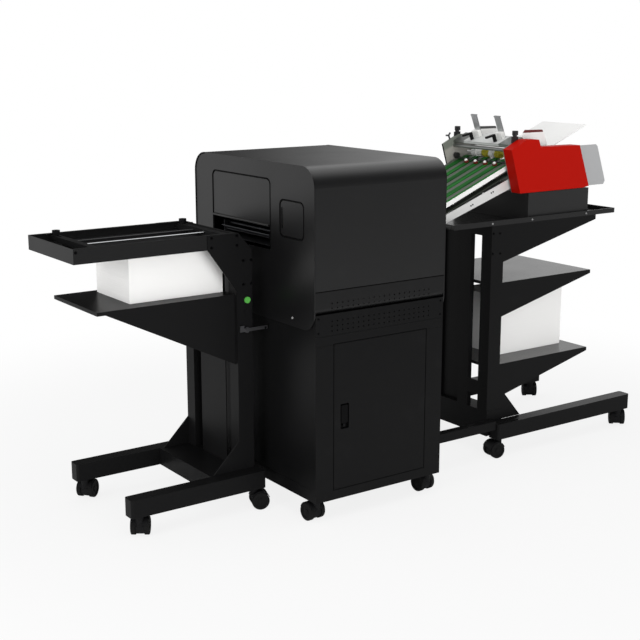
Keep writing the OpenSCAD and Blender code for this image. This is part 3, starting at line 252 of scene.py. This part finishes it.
def dress(finish, *names):
    for name in names:
        mesh = nodes[name].data
        mesh.materials.clear()
        mesh.materials.append(finish.material)


def black(level):
    """A near black with a trace of blue."""
    return (level, level, level + 0.0002, 1)


def powder_coat(name, colour, rough, dust=0.25, shine=0.22):
    """Powder coat: a fine orange-peel skin, cloudy in its sheen, a trace paler where hands rub it."""
    coat = Finish(name, Specular_IOR_Level=shine)
    cloud = coat.noise(3.5, 3.0)
    peel = coat.noise(620.0, 2.0)
    grain = coat.noise(2400.0, 1.0)
    rubbed = coat.noise(9.0, 4.0).between(0.56, 0.78)
    pale = tuple(min(1.0, c * 1.35 + 0.004) for c in colour[:3]) + (1,)
    coat.shade(Base_Color=coat.mix(rubbed * dust + 0.12 * grain, colour, pale),
               Roughness=rough + 0.10 * cloud + 0.05 * peel,
               Normal=coat.bump(peel + 0.4 * grain, 0.10, 0.0006))
    return coat


cabinet_coat = powder_coat("cabinet_powder_coat", black(0.0034), rough=0.30, shine=0.13)
dress(cabinet_coat, "cabinet_body", "cabinet_panels", "cabinet_door")


# Cabinet fixings.
# Button-head socket screws of blackened steel hold the vent strip and the back panel, one at each
# corner and along the long edges. One small tree makes every such screw on the machine.
class Pattern:
    """A Geometry Nodes tree with named sizes; add() makes any node from its type, settings and sockets."""

    def __init__(self, name, **sizes):
        self.tree = bpy.data.node_groups.new(name, "GeometryNodeTree")
        face = self.tree.interface
        face.new_socket("Geometry", in_out="INPUT", socket_type="NodeSocketGeometry")
        face.new_socket("Geometry", in_out="OUTPUT", socket_type="NodeSocketGeometry")
        kinds = {int: "NodeSocketInt", float: "NodeSocketFloat", tuple: "NodeSocketVector"}
        self.keys = {}
        for label, value in sizes.items():
            socket = face.new_socket(label, in_out="INPUT", socket_type=kinds[type(value)])
            socket.default_value = value
            self.keys[label] = socket.identifier
        self.sizes = self.tree.nodes.new("NodeGroupInput").outputs

    def add(self, kind, settings=None, output=0, **inputs):
        node = self.tree.nodes.new(kind)
        for key, value in (settings or {}).items():
            setattr(node, key, value)
        for key, value in inputs.items():
            socket = node.inputs[int(key) if key.isdigit() else key.replace("_", " ")]
            if isinstance(value, bpy.types.NodeSocket):
                self.tree.links.new(value, socket)
            else:
                socket.default_value = value
        return node.outputs[output]

    def number(self, operation, first, second):
        return self.add("ShaderNodeMath", {"operation": operation}, **{"0": first, "1": second})

    def finish(self, geometry, finish):
        """Ends the tree: instances made real, then the finish."""
        real = self.add("GeometryNodeRealizeInstances", Geometry=geometry)
        done = self.add("GeometryNodeSetMaterial", Geometry=real, Material=finish.material)
        self.tree.links.new(done, self.tree.nodes.new("NodeGroupOutput").inputs[0])

    def make(self, name, body, slot, start=None, finish=None, **sizes):
        """Runs the tree on a start mesh and keeps the result as a plain mesh that rides on a body."""
        maker = bpy.data.objects.new(name + "_maker", start or bpy.data.meshes.new(name + "_start"))
        shown.link(maker)
        run = maker.modifiers.new("pattern", "NODES")
        run.node_group = self.tree
        for label, value in sizes.items():
            run[self.keys[label]] = value
        ready = maker.evaluated_get(bpy.context.evaluated_depsgraph_get())
        mesh = bpy.data.meshes.new_from_object(ready)
        made_of = finish.material if finish else mesh.materials[-1]
        mesh.materials.clear()
        mesh.materials.append(made_of)
        for face in mesh.polygons:
            face.material_index = 0
        maker.modifiers.remove(run)
        bpy.data.objects.remove(maker)
        piece = bpy.data.objects.new(name, mesh)
        mesh.name = name
        shown.link(piece)
        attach(piece, body)
        return piece


def seats(places, facing):
    """A mesh of bare points, each with the way its screw faces."""
    mesh = bpy.data.meshes.new("screw_seats")
    mesh.from_pydata(places, [], [])
    ways = mesh.attributes.new("facing", "FLOAT_VECTOR", "POINT")
    for item, way in zip(ways.data, facing):
        item.vector = way
    return mesh


def darker(colour, share):
    return tuple(c * share for c in colour[:3]) + (1,)


def brush(metal, rough, along):
    """Hairlines along a metal piece and a slightly uneven sheen; gives back the hairlines."""
    hairline = metal.noise(60.0, 3.0, along)
    cloud = metal.noise(8.0, 2.0)
    metal.shade(Roughness=rough + 0.16 * hairline + 0.08 * cloud, Normal=metal.bump(hairline, 0.06, 0.0003))
    return hairline


def bright_metal(name, colour, rough=0.28, along=(1, 40, 40)):
    """Brushed or drawn metal, duller in its hairlines."""
    metal = Finish(name, Metallic=1.0)
    metal.shade(Base_Color=metal.mix(brush(metal, rough, along), colour, darker(colour, 0.78)))
    return metal


black_screw = bright_metal("blackened_screw", (0.012, 0.012, 0.013, 1), 0.5, along=(30, 30, 1))
screw = Pattern("socket_screw", Radius=0.005, Height=0.003)
crown = screw.number("MULTIPLY", screw.sizes["Radius"], 0.72)
key_radius = screw.number("MULTIPLY", screw.sizes["Radius"], 0.42)
dome = screw.add("GeometryNodeMeshCone", Vertices=20, Radius_Top=crown, Radius_Bottom=screw.sizes["Radius"],
                 Depth=screw.sizes["Height"])
hex_key = screw.add("GeometryNodeMeshCylinder", Vertices=6, Radius=key_radius, Depth=screw.sizes["Height"])
lift = screw.add("ShaderNodeCombineXYZ", Z=screw.sizes["Height"])
raised_key = screw.add("GeometryNodeTransform", Geometry=hex_key, Translation=lift)
head = screw.add("GeometryNodeMeshBoolean", {"operation": "DIFFERENCE"}, **{"0": dome, "1": raised_key})
way = screw.add("GeometryNodeInputNamedAttribute", {"data_type": "FLOAT_VECTOR"}, Name="facing")
turn = screw.add("FunctionNodeAlignRotationToVector", {"axis": "Z"}, Vector=way)
set_screws = screw.add("GeometryNodeInstanceOnPoints", Points=screw.sizes["Geometry"], Instance=head,
                       Rotation=turn)
screw.finish(set_screws, black_screw)

panel_low, panel_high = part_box("cabinet_panels")
to_front, to_back = (0, -1, 0), (0, 1, 0)
strip_inset, strip_drops = 0.014, (0.014, 0.072)
back_inset, back_heights = 0.016, (0.13, 0.36, 0.60, 0.84)
strip_columns = (panel_low[0] + strip_inset, panel_high[0] - strip_inset)
back_columns = (panel_low[0] + back_inset, panel_high[0] - back_inset)
strip_places = [(x, panel_low[1], panel_high[2] - drop) for x in strip_columns for drop in strip_drops]
back_places = [(x, panel_high[1], z) for x in back_columns for z in back_heights]
panel_ways = [to_front] * len(strip_places) + [to_back] * len(back_places)
screw.make("panel_screws", "machine", "bright_steel", seats(strip_places + back_places, panel_ways),
           Radius=0.0045, Height=0.0026)


# Door handle and lock.
# The lift handle is moulded black nylon with a fine spark-eroded grain; the lock plug is turned
# brass in dark chrome, with a keyway across its face.
def moulded(name, colour, rough=0.5, shine=0.2):
    """Moulded plastic: a fine even grain and a soft sheen."""
    plastic = Finish(name, Specular_IOR_Level=shine)
    grain = plastic.noise(1500.0, 2.0)
    flow = plastic.noise(14.0, 2.0)
    plastic.shade(Base_Color=plastic.mix(flow, colour, darker(colour, 0.8)), Roughness=rough + 0.12 * grain,
                  Normal=plastic.bump(grain, 0.18, 0.0004))
    return plastic


handle_nylon = moulded("handle_nylon", black(0.0030), shine=0.07)
dark_chrome = bright_metal("dark_chrome", (0.028, 0.028, 0.030, 1), 0.34)
dress(handle_nylon, "door_handle")
dress(dark_chrome, "door_lock")


# Head.
# Bent sheet shell and hood between two flat cheek plates, all powder coated black. The hood and the
# cheeks have a glossier coat than the cabinet and the shell.
hood_coat = powder_coat("hood_powder_coat", black(0.0060), rough=0.24, shine=0.40)
cheek_coat = powder_coat("cheek_powder_coat", black(0.0032), rough=0.27, shine=0.45)
shell_coat = powder_coat("shell_powder_coat", black(0.0042), rough=0.34, shine=0.28)
dress(hood_coat, "hood")
dress(cheek_coat, "head_cheeks", "output_flap", "access_door")
dress(shell_coat, "head_shell")


# Seals and edge trims.
# Black rubber: seals round the cabinet door and under the hood, and edging pressed over the left cheek's two
# openings and both cheeks' rear rims. The edging round the flap opening is painted shadow, a dark line for
# the gap round the flap. One tree sweeps a round section along each path.
def path(points, closed=False, edges=None):
    """A bare line through points, for a section to be swept along."""
    line = bpy.data.meshes.new("trim_path")
    count = len(points)
    steps = [(i, (i + 1) % count) for i in range(count if closed else count - 1)]
    line.from_pydata(points, edges or steps, [])
    return line


def quarter(face, middle, radius, start, steps):
    """A quarter round in the upright plane of a cheek, from a starting angle in degrees."""
    angles = [math.radians(start + i * 90 / steps) for i in range(steps + 1)]
    return [(face, middle[0] + radius * math.cos(a), middle[1] + radius * math.sin(a)) for a in angles]


cheeks_low, cheeks_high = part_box("head_cheeks")
left_face, right_face = cheeks_low[0], cheeks_high[0]


def hoop(low, high, closed):
    """A path round an upright opening in the left cheek: a ring, or a hoop with two straight legs."""
    corner = 0.0245
    rounds = [(high[0], high[1], 0), (low[0], high[1], 90)]
    if closed:
        rounds += [(low[0], low[1], 180), (high[0], low[1], 270)]
    points = [] if closed else [(left_face, high[0], low[1])]
    for y, z, start in rounds:
        middle = (y - math.copysign(corner, y - (low[0] + high[0]) / 2),
                  z - math.copysign(corner, z - (low[1] + high[1]) / 2))
        points += quarter(left_face, middle, corner, start, steps=8)
    if not closed:
        points.append((left_face, low[0], low[1]))
    return path(points, closed)


edge_rubber = moulded("edge_rubber", (0.002, 0.002, 0.002, 1), 0.75, shine=0.06)
trim = Pattern("edge_trim", Radius=0.002, Sides=10)
trim_line = trim.add("GeometryNodeMeshToCurve", Mesh=trim.sizes["Geometry"])
section = trim.add("GeometryNodeCurvePrimitiveCircle", Resolution=trim.sizes["Sides"],
                   Radius=trim.sizes["Radius"])
swept = trim.add("GeometryNodeCurveToMesh", Curve=trim_line, Profile_Curve=section, Fill_Caps=True)
trim.finish(swept, edge_rubber)

door_low, door_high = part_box("cabinet_door")
door_gap, door_sunk = 0.0022, 0.0004
door_left, door_right = door_low[0] - door_gap, door_high[0] + door_gap
door_foot, door_top = door_low[2] - door_gap, door_high[2] + door_gap
door_frame = [(x, door_low[1] + door_sunk, z) for x, z in ((door_right, door_foot), (door_left, door_foot),
                                                           (door_left, door_top), (door_right, door_top))]
trim.make("door_seal", "machine", "black_plastic", path(door_frame, closed=True), Radius=0.0018)

hood_low, hood_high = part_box("hood")
hood_sunk, hood_gap = 0.0005, 0.0010
hood_edge = [(x, hood_low[1] + hood_sunk, hood_low[2] - hood_gap) for x in (hood_low[0], hood_high[0])]
trim.make("hood_seal", "machine", "black_plastic", path(hood_edge), Radius=0.0022)

flap_opening = (-0.1475, 1.092), (0.3075, 1.3755)
access_opening = (-0.386, 1.153), (-0.218, 1.303)
# Painted shadow: the black edging over the top and sides of the flap opening is the dark line of its gap.
trim.make("flap_trim", "machine", "black_plastic", hoop(*flap_opening, closed=False))
trim.make("access_trim", "machine", "black_plastic", hoop(*access_opening, closed=True))

rim_radius, rim_bend, rim_foot = 0.0036, 0.0784, 0.873
rim_rear, rim_top = cheeks_high[1] - rim_radius, cheeks_high[2] - rim_radius
rim_middle = (rim_rear - rim_bend, rim_top - rim_bend)
for name, face in (("left_rim", left_face), ("right_rim", right_face)):
    rim = [(face, rim_rear, rim_foot)] + quarter(face, rim_middle, rim_bend, 0, steps=10)
    trim.make(name, "machine", "black_plastic", path(rim), Radius=rim_radius)


# Cheek screw.
# One socket screw fixes the foot of the left cheek to the shell; its pale grey head is a painted glint.
# Painted glint: a pale grey matt finish on small screw heads, for the light that catches them.
painted_glint_cap = moulded("painted_glint_cap", (0.26, 0.26, 0.26, 1))
cheek_seat, to_left = (left_face, -0.305, 0.834), (-1, 0, 0)
screw.make("cheek_screw", "machine", "bright_steel", seats([cheek_seat], [to_left]), painted_glint_cap,
           Radius=0.005, Height=0.003)


# Embossing works.
# Blackened steel side plates, ties and guides with a finned motor, and two ground steel rollers whose
# lands carry rows of embossing pins. The pins are pressed in and turn with their roller.
ground_steel = bright_metal("ground_steel", (0.30, 0.31, 0.32, 1), 0.36, along=(40, 1, 40))
dark_steel = bright_metal("blackened_plate", (0.14, 0.144, 0.152, 1), 0.40, along=(40, 1, 40))
dress(dark_steel, "emboss_frame")
dress(ground_steel, "lower_emboss_roller", "upper_emboss_roller")

pin_rows, pin_pitch, lands_middle = 16, 0.0225, 0.08
pins = Pattern("embossing_pins", Rows=pin_rows, Around=64, Radius=0.0446, Pitch=pin_pitch, Tip=0.0009,
               Centre=(0.0, 0.0, 0.0))
ring = pins.add("GeometryNodeMeshCircle", Vertices=pins.sizes["Around"], Radius=pins.sizes["Radius"])
upright = pins.add("GeometryNodeTransform", Geometry=ring, Rotation=(math.pi / 2, 0, 0))
step = pins.add("ShaderNodeCombineXYZ", Y=pins.sizes["Pitch"])
lands = pins.add("GeometryNodeMeshLine", Count=pins.sizes["Rows"], Offset=step)
rings = pins.add("GeometryNodeInstanceOnPoints", Points=lands, Instance=upright)
pin_points = pins.add("GeometryNodeRealizeInstances", Geometry=rings)
tip = pins.add("GeometryNodeMeshUVSphere", Segments=6, Rings=4, Radius=pins.sizes["Tip"])
pin_set = pins.add("GeometryNodeInstanceOnPoints", Points=pin_points, Instance=tip)
placed = pins.add("GeometryNodeTransform", Geometry=pin_set, Translation=pins.sizes["Centre"])
pins.finish(placed, ground_steel)
first_row = lands_middle - (pin_rows - 1) / 2 * pin_pitch
for roller, body in (("lower_emboss_roller", "lower_roller"), ("upper_emboss_roller", "upper_roller")):
    low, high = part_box(roller)
    centre = ((low[0] + high[0]) / 2, first_row, (low[2] + high[2]) / 2)
    pins.make(roller + "_pins", body, "machined_steel", Centre=centre)


# Stacker.
# Welded and powder coated stand and tray, one chrome and one blackened rod across the tray, a side
# fence held by two moulded thumb knobs, and a lifting shelf on a carriage behind the posts.
stand_coat = powder_coat("stand_powder_coat", black(0.0058), rough=0.28, dust=0.2, shine=0.085)
tray_coat = powder_coat("tray_powder_coat", black(0.0090), rough=0.30, dust=0.2, shine=0.17)
dress(stand_coat, "stacker_frame", "stack_shelf")
dress(tray_coat, "stacker_tray")

between_rods = 0.12
rods = Finish("guide_rod_pair")
drawn = rods.noise(60.0, 3.0, (1, 30, 30))
near_rod = rods.axis("Y") < between_rods
rods.shade(Base_Color=rods.mix(near_rod, (0.012, 0.012, 0.013, 1), (0.56, 0.57, 0.58, 1)),
           Metallic=near_rod, Roughness=0.34 - 0.24 * near_rod + 0.08 * drawn)
black_nylon = moulded("black_nylon", (0.0055, 0.0055, 0.006, 1))
dull_zinc = bright_metal("dull_zinc", (0.22, 0.22, 0.23, 1), 0.34)
lit_green = moulded("green_lens", (0.090, 0.38, 0.066, 1), 0.25)
dress(rods, "guide_rods")
dress(black_nylon, "side_guide")
dress(dull_zinc, "dock_latch")
dress(lit_green, "start_button")

stacker_y, arm_half, column_inset = 0.108, 0.219, 0.009
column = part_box("stacker_frame")[1][0] - column_inset
arm_bolts = [(-0.192, 1.153), (-0.192, 1.114), (-0.076, 1.153), (-0.076, 1.114),
             (-0.047, 1.049), (-0.010, 1.049), (-0.047, 0.951), (-0.010, 0.951)]
tray_low, tray_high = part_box("stacker_tray")
tray_inset, tray_drop = 0.010, 0.014
arm_places = [(column + x, y, z) for y in (stacker_y - arm_half, stacker_y + arm_half) for x, z in arm_bolts]
arm_places.append((tray_low[0] + tray_inset, tray_low[1], tray_high[2] - tray_drop))
arm_ways = [to_front] * len(arm_bolts) + [to_back] * len(arm_bolts) + [to_front]
screw.make("arm_bolts", "machine", "bright_steel", seats(arm_places, arm_ways), Radius=0.0062, Height=0.004)


# Paper stacks.
# Loose cut sheets, squared up by hand: each packet lies a hair out of line with the next, and the
# cut edges show as fine lines.
sheet_white = Finish("cut_sheets")
edge_line = sheet_white.add("ShaderNodeTexWave", {"bands_direction": "Z", "wave_profile": "SAW"},
                            Vector=sheet_white.place(), Scale=260.0, Distortion=1.5)
fibre = sheet_white.noise(420.0, 2.0)
cut_edge = sheet_white.mix(edge_line * 0.35 + fibre * 0.2, (0.88, 0.875, 0.865, 1), (0.80, 0.795, 0.78, 1))
sheet_white.shade(Base_Color=cut_edge, Roughness=0.75 + 0.15 * fibre,
                  Normal=sheet_white.bump(edge_line, 0.15, 0.0003))
dress(sheet_white, "stacker_paper", "feeder_paper")

stack = Pattern("sheet_stack", Size=(0.42, 0.297, 0.2), Packets=90, Slip=0.0004, Foot=(0.0, 0.0, 0.0))
whole = stack.add("ShaderNodeSeparateXYZ", Vector=stack.sizes["Size"], output=2)
thick = stack.number("DIVIDE", whole, stack.sizes["Packets"])
rise = stack.add("ShaderNodeCombineXYZ", Z=thick)
half_rise = stack.add("ShaderNodeVectorMath", {"operation": "SCALE"}, **{"0": rise, "Scale": 0.5})
levels = stack.add("GeometryNodeMeshLine", Count=stack.sizes["Packets"], Start_Location=half_rise,
                   Offset=rise)
flat = stack.add("ShaderNodeVectorMath", {"operation": "MULTIPLY"},
                 **{"0": stack.sizes["Size"], "1": (1.0, 1.0, 0.0)})
packet_size = stack.add("ShaderNodeVectorMath", {"operation": "ADD"}, **{"0": flat, "1": rise})
packet = stack.add("GeometryNodeMeshCube", Size=packet_size)
back_slip = stack.number("MULTIPLY", stack.sizes["Slip"], -1.0)
least = stack.add("ShaderNodeCombineXYZ", X=back_slip, Y=back_slip)
most = stack.add("ShaderNodeCombineXYZ", X=stack.sizes["Slip"], Y=stack.sizes["Slip"])
slip = stack.add("FunctionNodeRandomValue", {"data_type": "FLOAT_VECTOR"}, Min=least, Max=most, Seed=7)
packets = stack.add("GeometryNodeInstanceOnPoints", Points=levels, Instance=packet)
squared = stack.add("GeometryNodeTranslateInstances", Instances=packets, Translation=slip)
stood = stack.add("GeometryNodeTransform", Geometry=squared, Translation=stack.sizes["Foot"])
stack.finish(stood, sheet_white)
packet_thick = 0.0022
for node, body in (("stacker_paper", "stack_shelf"), ("feeder_paper", "machine")):
    low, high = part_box(node)
    size = tuple(b - a for a, b in zip(low, high))
    foot = ((low[0] + high[0]) / 2, (low[1] + high[1]) / 2, low[2])
    sheets = stack.make(node + "_sheets", body, "paper", Size=size, Foot=foot,
                        Packets=round(size[2] / packet_thick))
    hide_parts(node)


# Feeder stand.
# Welded and coated sheet as on the stacker: posts bolted to a table tray, whose screws have pale grey heads
# as a painted glint, a pedestal box on top, and two shelves that sliding paper has polished.
shelf_coat = powder_coat("shelf_powder_coat", black(0.0120), rough=0.16, shine=0.29)
pedestal_coat = powder_coat("pedestal_powder_coat", black(0.0150), rough=0.27, shine=0.28)
dress(stand_coat, "feeder_stand")
dress(shelf_coat, "feeder_shelves")
dress(pedestal_coat, "feeder_pedestal")

feeder_x = 0.5355
table_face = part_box("feeder_shelves")[0][1]
post_bolts = [(0.011, 1.059), (0.050, 1.057), (0.009, 0.966), (0.055, 0.963)]
table_caps, cap_height = (0.002, 0.252, 0.612), 1.1045
post_places = [(feeder_x + x, table_face, z) for x, z in post_bolts]
table_places = [(feeder_x + x, table_face, cap_height) for x in table_caps]
screw.make("stand_bolts", "machine", "bright_steel", seats(post_places, [to_front] * len(post_places)),
           Radius=0.0055, Height=0.0035)
# Painted glint: the three table screws have the same pale grey heads.
screw.make("table_screws", "machine", "bright_steel", seats(table_places, [to_front] * len(table_places)),
           painted_glint_cap, Radius=0.0050, Height=0.003)


# Feeder side plates and covers.
# Two sawn aluminium plates carry every shaft, and white blocks on the bridge between them clamp the zinc
# gate bars. A red coated cover hangs on the near plate; the far one has a wing screw and black edging.
feeder_y = 0.063
slope = math.radians(22.0)
belt_x, belt_z = 0.7095, 1.345


def across(finish):
    """Distance from the middle of the feeder, towards the back."""
    return finish.axis("Y") - feeder_y


def above_belt(finish):
    """Height over the belts, square to the slope."""
    return (belt_x - finish.axis("X")) * math.sin(slope) + (finish.axis("Z") - belt_z) * math.cos(slope)


block_half, deck_height, block_height, far_plate = 0.12, 0.0830, 0.0965, 0.193
plates = Finish("satin_aluminium")
hair = brush(plates, 0.36, (1, 40, 40))
off_middle = across(plates)
plate_height = above_belt(plates)
inside = off_middle * off_middle < block_half ** 2
block = inside * (plate_height > block_height)
deck = inside * (plate_height > deck_height) * (1 - block)
far = off_middle > far_plate
# Painted shadow: on the far plate, from this height over the belts upwards, the colour bare is a darker
# green-grey for the shade that the gate bars cast.
upper = plate_height.between(0.062, 0.078)
sawn = plates.mix(hair, (0.42, 0.43, 0.42, 1), (0.30, 0.31, 0.30, 1))
# Painted reflection: the far plate is matt, not metal. Its beige-grey is partly the plate's own tone and
# partly the light its aluminium would mirror.
far_plate_painted_reflection = plates.mix(hair, (0.35, 0.34, 0.31, 1), (0.30, 0.29, 0.265, 1))
bare = plates.mix(hair, (0.185, 0.20, 0.175, 1), (0.155, 0.17, 0.145, 1))
# Painted highlight: the deck of the bridge between the plates is a pale matt grey, not metal, for the bright
# light it catches.
deck_painted_highlight = plates.mix(hair, (0.56, 0.57, 0.56, 1), (0.44, 0.45, 0.44, 1))
plate_colour = plates.mix(far, sawn, plates.mix(upper, far_plate_painted_reflection, bare))
plates.shade(Base_Color=plates.mix(block, plates.mix(deck, plate_colour, deck_painted_highlight), (0.82, 0.82, 0.80, 1)),
             Metallic=(1 - block) * (1 - far) * (1 - deck))
red_coat = powder_coat("red_powder_coat", (0.36, 0.0042, 0.0010, 1), rough=0.45, dust=0.06, shine=0.06)
zinc_bright = bright_metal("zinc_bright", (0.58, 0.59, 0.60, 1))
dress(plates, "feeder_side_plates")
dress(red_coat, "feeder_covers")
dress(zinc_bright, "drive_roller", "gate_bars")
dress(black_nylon, "clamp_lever_1", "clamp_lever_2")

plates_low, plates_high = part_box("feeder_side_plates")
plate_half = 0.003
plate_middle = plates_high[1] - plate_half
nose_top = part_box("feeder_covers")[1][2]
nose_front, nose_middle, nose_run, nose_rise = 0.105, 0.152, 0.095, 0.044
nose_lean = math.atan2(nose_rise, nose_run)


def on_nose(along, out):
    """A point by the far plate's sloping top edge, from the middle of that edge."""
    return (feeder_x + nose_middle + along * math.cos(nose_lean) - out * math.sin(nose_lean), plate_middle,
            nose_top - nose_rise / 2 + along * math.sin(nose_lean) + out * math.cos(nose_lean))


stem_foot, stem_top, wing_reach, wing_top = -0.006, 0.019, 0.014, 0.026
wing = [on_nose(0, stem_foot), on_nose(0, stem_top),
        on_nose(-wing_reach, wing_top), on_nose(wing_reach, wing_top)]
trim.make("wing_screw", "machine", "bright_steel", path(wing, edges=[(0, 1), (1, 2), (1, 3)]), dull_zinc,
          Radius=0.0044)
edging_foot, edging_lift = 0.168, 0.004
nose_edge = [(feeder_x + nose_front, plate_middle, nose_top - nose_rise),
             (feeder_x + edging_foot, plate_middle, plates_low[2] + edging_lift)]
trim.make("nose_edging", "machine", "black_plastic", path(nose_edge), Radius=0.0034)


# Hopper.
# A white coated rest on the slope with two side guides, whose caps are maroon at the front and dark at
# the back, and two grey acrylic side plates behind the covers.
guide_square, guide_end_square, acrylic_square, cap_foot = 0.151 ** 2, 0.0400, 0.0404, 1.4955
hopper = Finish("hopper_sheet")
wipe = hopper.noise(5.0, 3.0)
speck = hopper.noise(1200.0, 2.0)
side = across(hopper)
side_square = side * side
guide = (side_square > guide_square) * (side_square < guide_end_square)
cap = guide * (hopper.axis("Z") > cap_foot)
acrylic = side_square > acrylic_square
white = hopper.mix(wipe, (0.80, 0.80, 0.79, 1), (0.72, 0.72, 0.71, 1))
cap_colour = hopper.mix(side > 0.0, (0.11, 0.012, 0.012, 1), (0.05, 0.05, 0.05, 1))
capped = hopper.mix(cap, white, cap_colour)
hopper.shade(Base_Color=hopper.mix(acrylic, capped, (0.37, 0.375, 0.38, 1)),
             Roughness=0.42 - 0.16 * acrylic + 0.10 * wipe, Normal=hopper.bump(speck, 0.08, 0.0003))
dress(hopper, "hopper_plates")


# Conveyor frame.
# Pale aluminium rails with two pairs of small screws, and a grey sheet bed between them that is edged
# with a white strip on the near side.
bed_half, strip_half = 0.183, 0.1866
conveyor = Finish("conveyor_sheet")
brushed = conveyor.noise(60.0, 3.0, (1, 40, 40))
offset = across(conveyor)
offset_square = offset * offset
bed = offset_square < bed_half ** 2
strip = (1 - bed) * (offset_square < strip_half ** 2)
grey = bed + strip * (offset > 0.0)
pale = conveyor.mix(brushed, (0.80, 0.80, 0.79, 1), (0.70, 0.70, 0.69, 1))
edged = conveyor.mix(strip, pale, (0.82, 0.82, 0.81, 1))
bed_grey = conveyor.mix(brushed, (0.12, 0.138, 0.112, 1), (0.075, 0.09, 0.072, 1))
conveyor.shade(Base_Color=conveyor.mix(grey, edged, bed_grey), Metallic=0.3 * (1 - bed) * (1 - strip),
               Roughness=0.36 + 0.2 * brushed, Normal=conveyor.bump(brushed, 0.05, 0.0003))
dress(conveyor, "conveyor_frame")

rail_inset, rail_drop, rail_spots = 0.004, 0.066, (-0.272, -0.260, -0.139, -0.127)
rail_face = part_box("conveyor_frame")[0][1] + rail_inset
rail_places = [(belt_x + up * math.cos(slope) + rail_drop * math.sin(slope), rail_face,
                belt_z + up * math.sin(slope) - rail_drop * math.cos(slope)) for up in rail_spots]
screw.make("rail_screws", "machine", "bright_steel", seats(rail_places, [to_front] * len(rail_places)),
           Radius=0.0040, Height=0.0020)


# Belts and hold-downs.
# Six green rubber belts with a fine woven face, worn in streaks and dark grey on the return run as painted
# shade, and a row of white balls in dark red cups on a black bar that hold the sheets down on them.
return_height = -0.012
green_belt = Finish("green_belt", Specular_IOR_Level=0.15)
weave = green_belt.noise(900.0, 2.0)
worn = green_belt.noise(60.0, 3.0, (0.06, 1, 0.06)).between(0.36, 0.62)
belt_face = green_belt.mix(0.3 * weave + 0.7 * worn, (0.018, 0.165, 0.024, 1), (0.008, 0.062, 0.012, 1))
# Painted shade: the lower run of the belts is a dark grey, for the shade it lies in under the upper run.
return_run_painted_shade = above_belt(green_belt) < return_height
green_belt.shade(Base_Color=green_belt.mix(return_run_painted_shade, belt_face, (0.040, 0.048, 0.038, 1)),
                 Roughness=0.52 + 0.2 * weave, Normal=green_belt.bump(weave, 0.2, 0.0004))
dress(green_belt, "conveyor_belts")


def up_belt(finish):
    """Distance along the belts, up the slope from their head."""
    return (finish.axis("X") - belt_x) * math.cos(slope) + (finish.axis("Z") - belt_z) * math.sin(slope)


row_square, cage_top, cage_end, cup_top = 0.0145, 0.030, 0.0095, 0.0102
hold_down = Finish("hold_down_parts")
grain = hold_down.noise(1500.0, 2.0)
height = above_belt(hold_down)
row = across(hold_down)
caged = (row * row < row_square) * (height < cage_top) * (up_belt(hold_down) < cage_end)
ball_and_cup = hold_down.mix(height > cup_top, (0.16, 0.014, 0.010, 1), (0.80, 0.80, 0.78, 1))
hold_down.shade(Base_Color=hold_down.mix(caged, (0.014, 0.014, 0.015, 1), ball_and_cup),
                Roughness=0.38 + 0.15 * grain, Normal=hold_down.bump(grain, 0.12, 0.0003))
dress(hold_down, "hold_downs")


# Feed wheels.
# White and olive rubber tyres on moulded hubs, pressed on one steel shaft across the side plates.
first_olive, last_olive, front_olive = 0.0345, 0.0850, -0.0070
wheel_set = Finish("feed_wheel_set")
along = across(wheel_set)
olive = (along > first_olive) * (along < last_olive) + (along < front_olive)
tyre_grain = wheel_set.noise(800.0, 2.0)
olive_tyre = wheel_set.mix(tyre_grain, (0.50, 0.45, 0.03, 1), (0.38, 0.34, 0.02, 1))
white_tyre = wheel_set.mix(tyre_grain, (0.90, 0.90, 0.89, 1), (0.82, 0.82, 0.81, 1))
wheel_set.shade(Base_Color=wheel_set.mix(olive, white_tyre, olive_tyre), Roughness=0.5 + 0.2 * tyre_grain,
                Normal=wheel_set.bump(tyre_grain, 0.15, 0.0003))
dress(wheel_set, "feed_wheels")


# Casters.
# Twin-wheel furniture casters: moulded nylon bodies and wheels with a softer black tread, four on each of
# the three units.
tread = moulded("caster_tread", (0.006, 0.006, 0.006, 1), 0.6)
for i in range(1, 13):
    dress(black_nylon, f"caster_{i}")
    dress(tread, f"wheels_{i}")
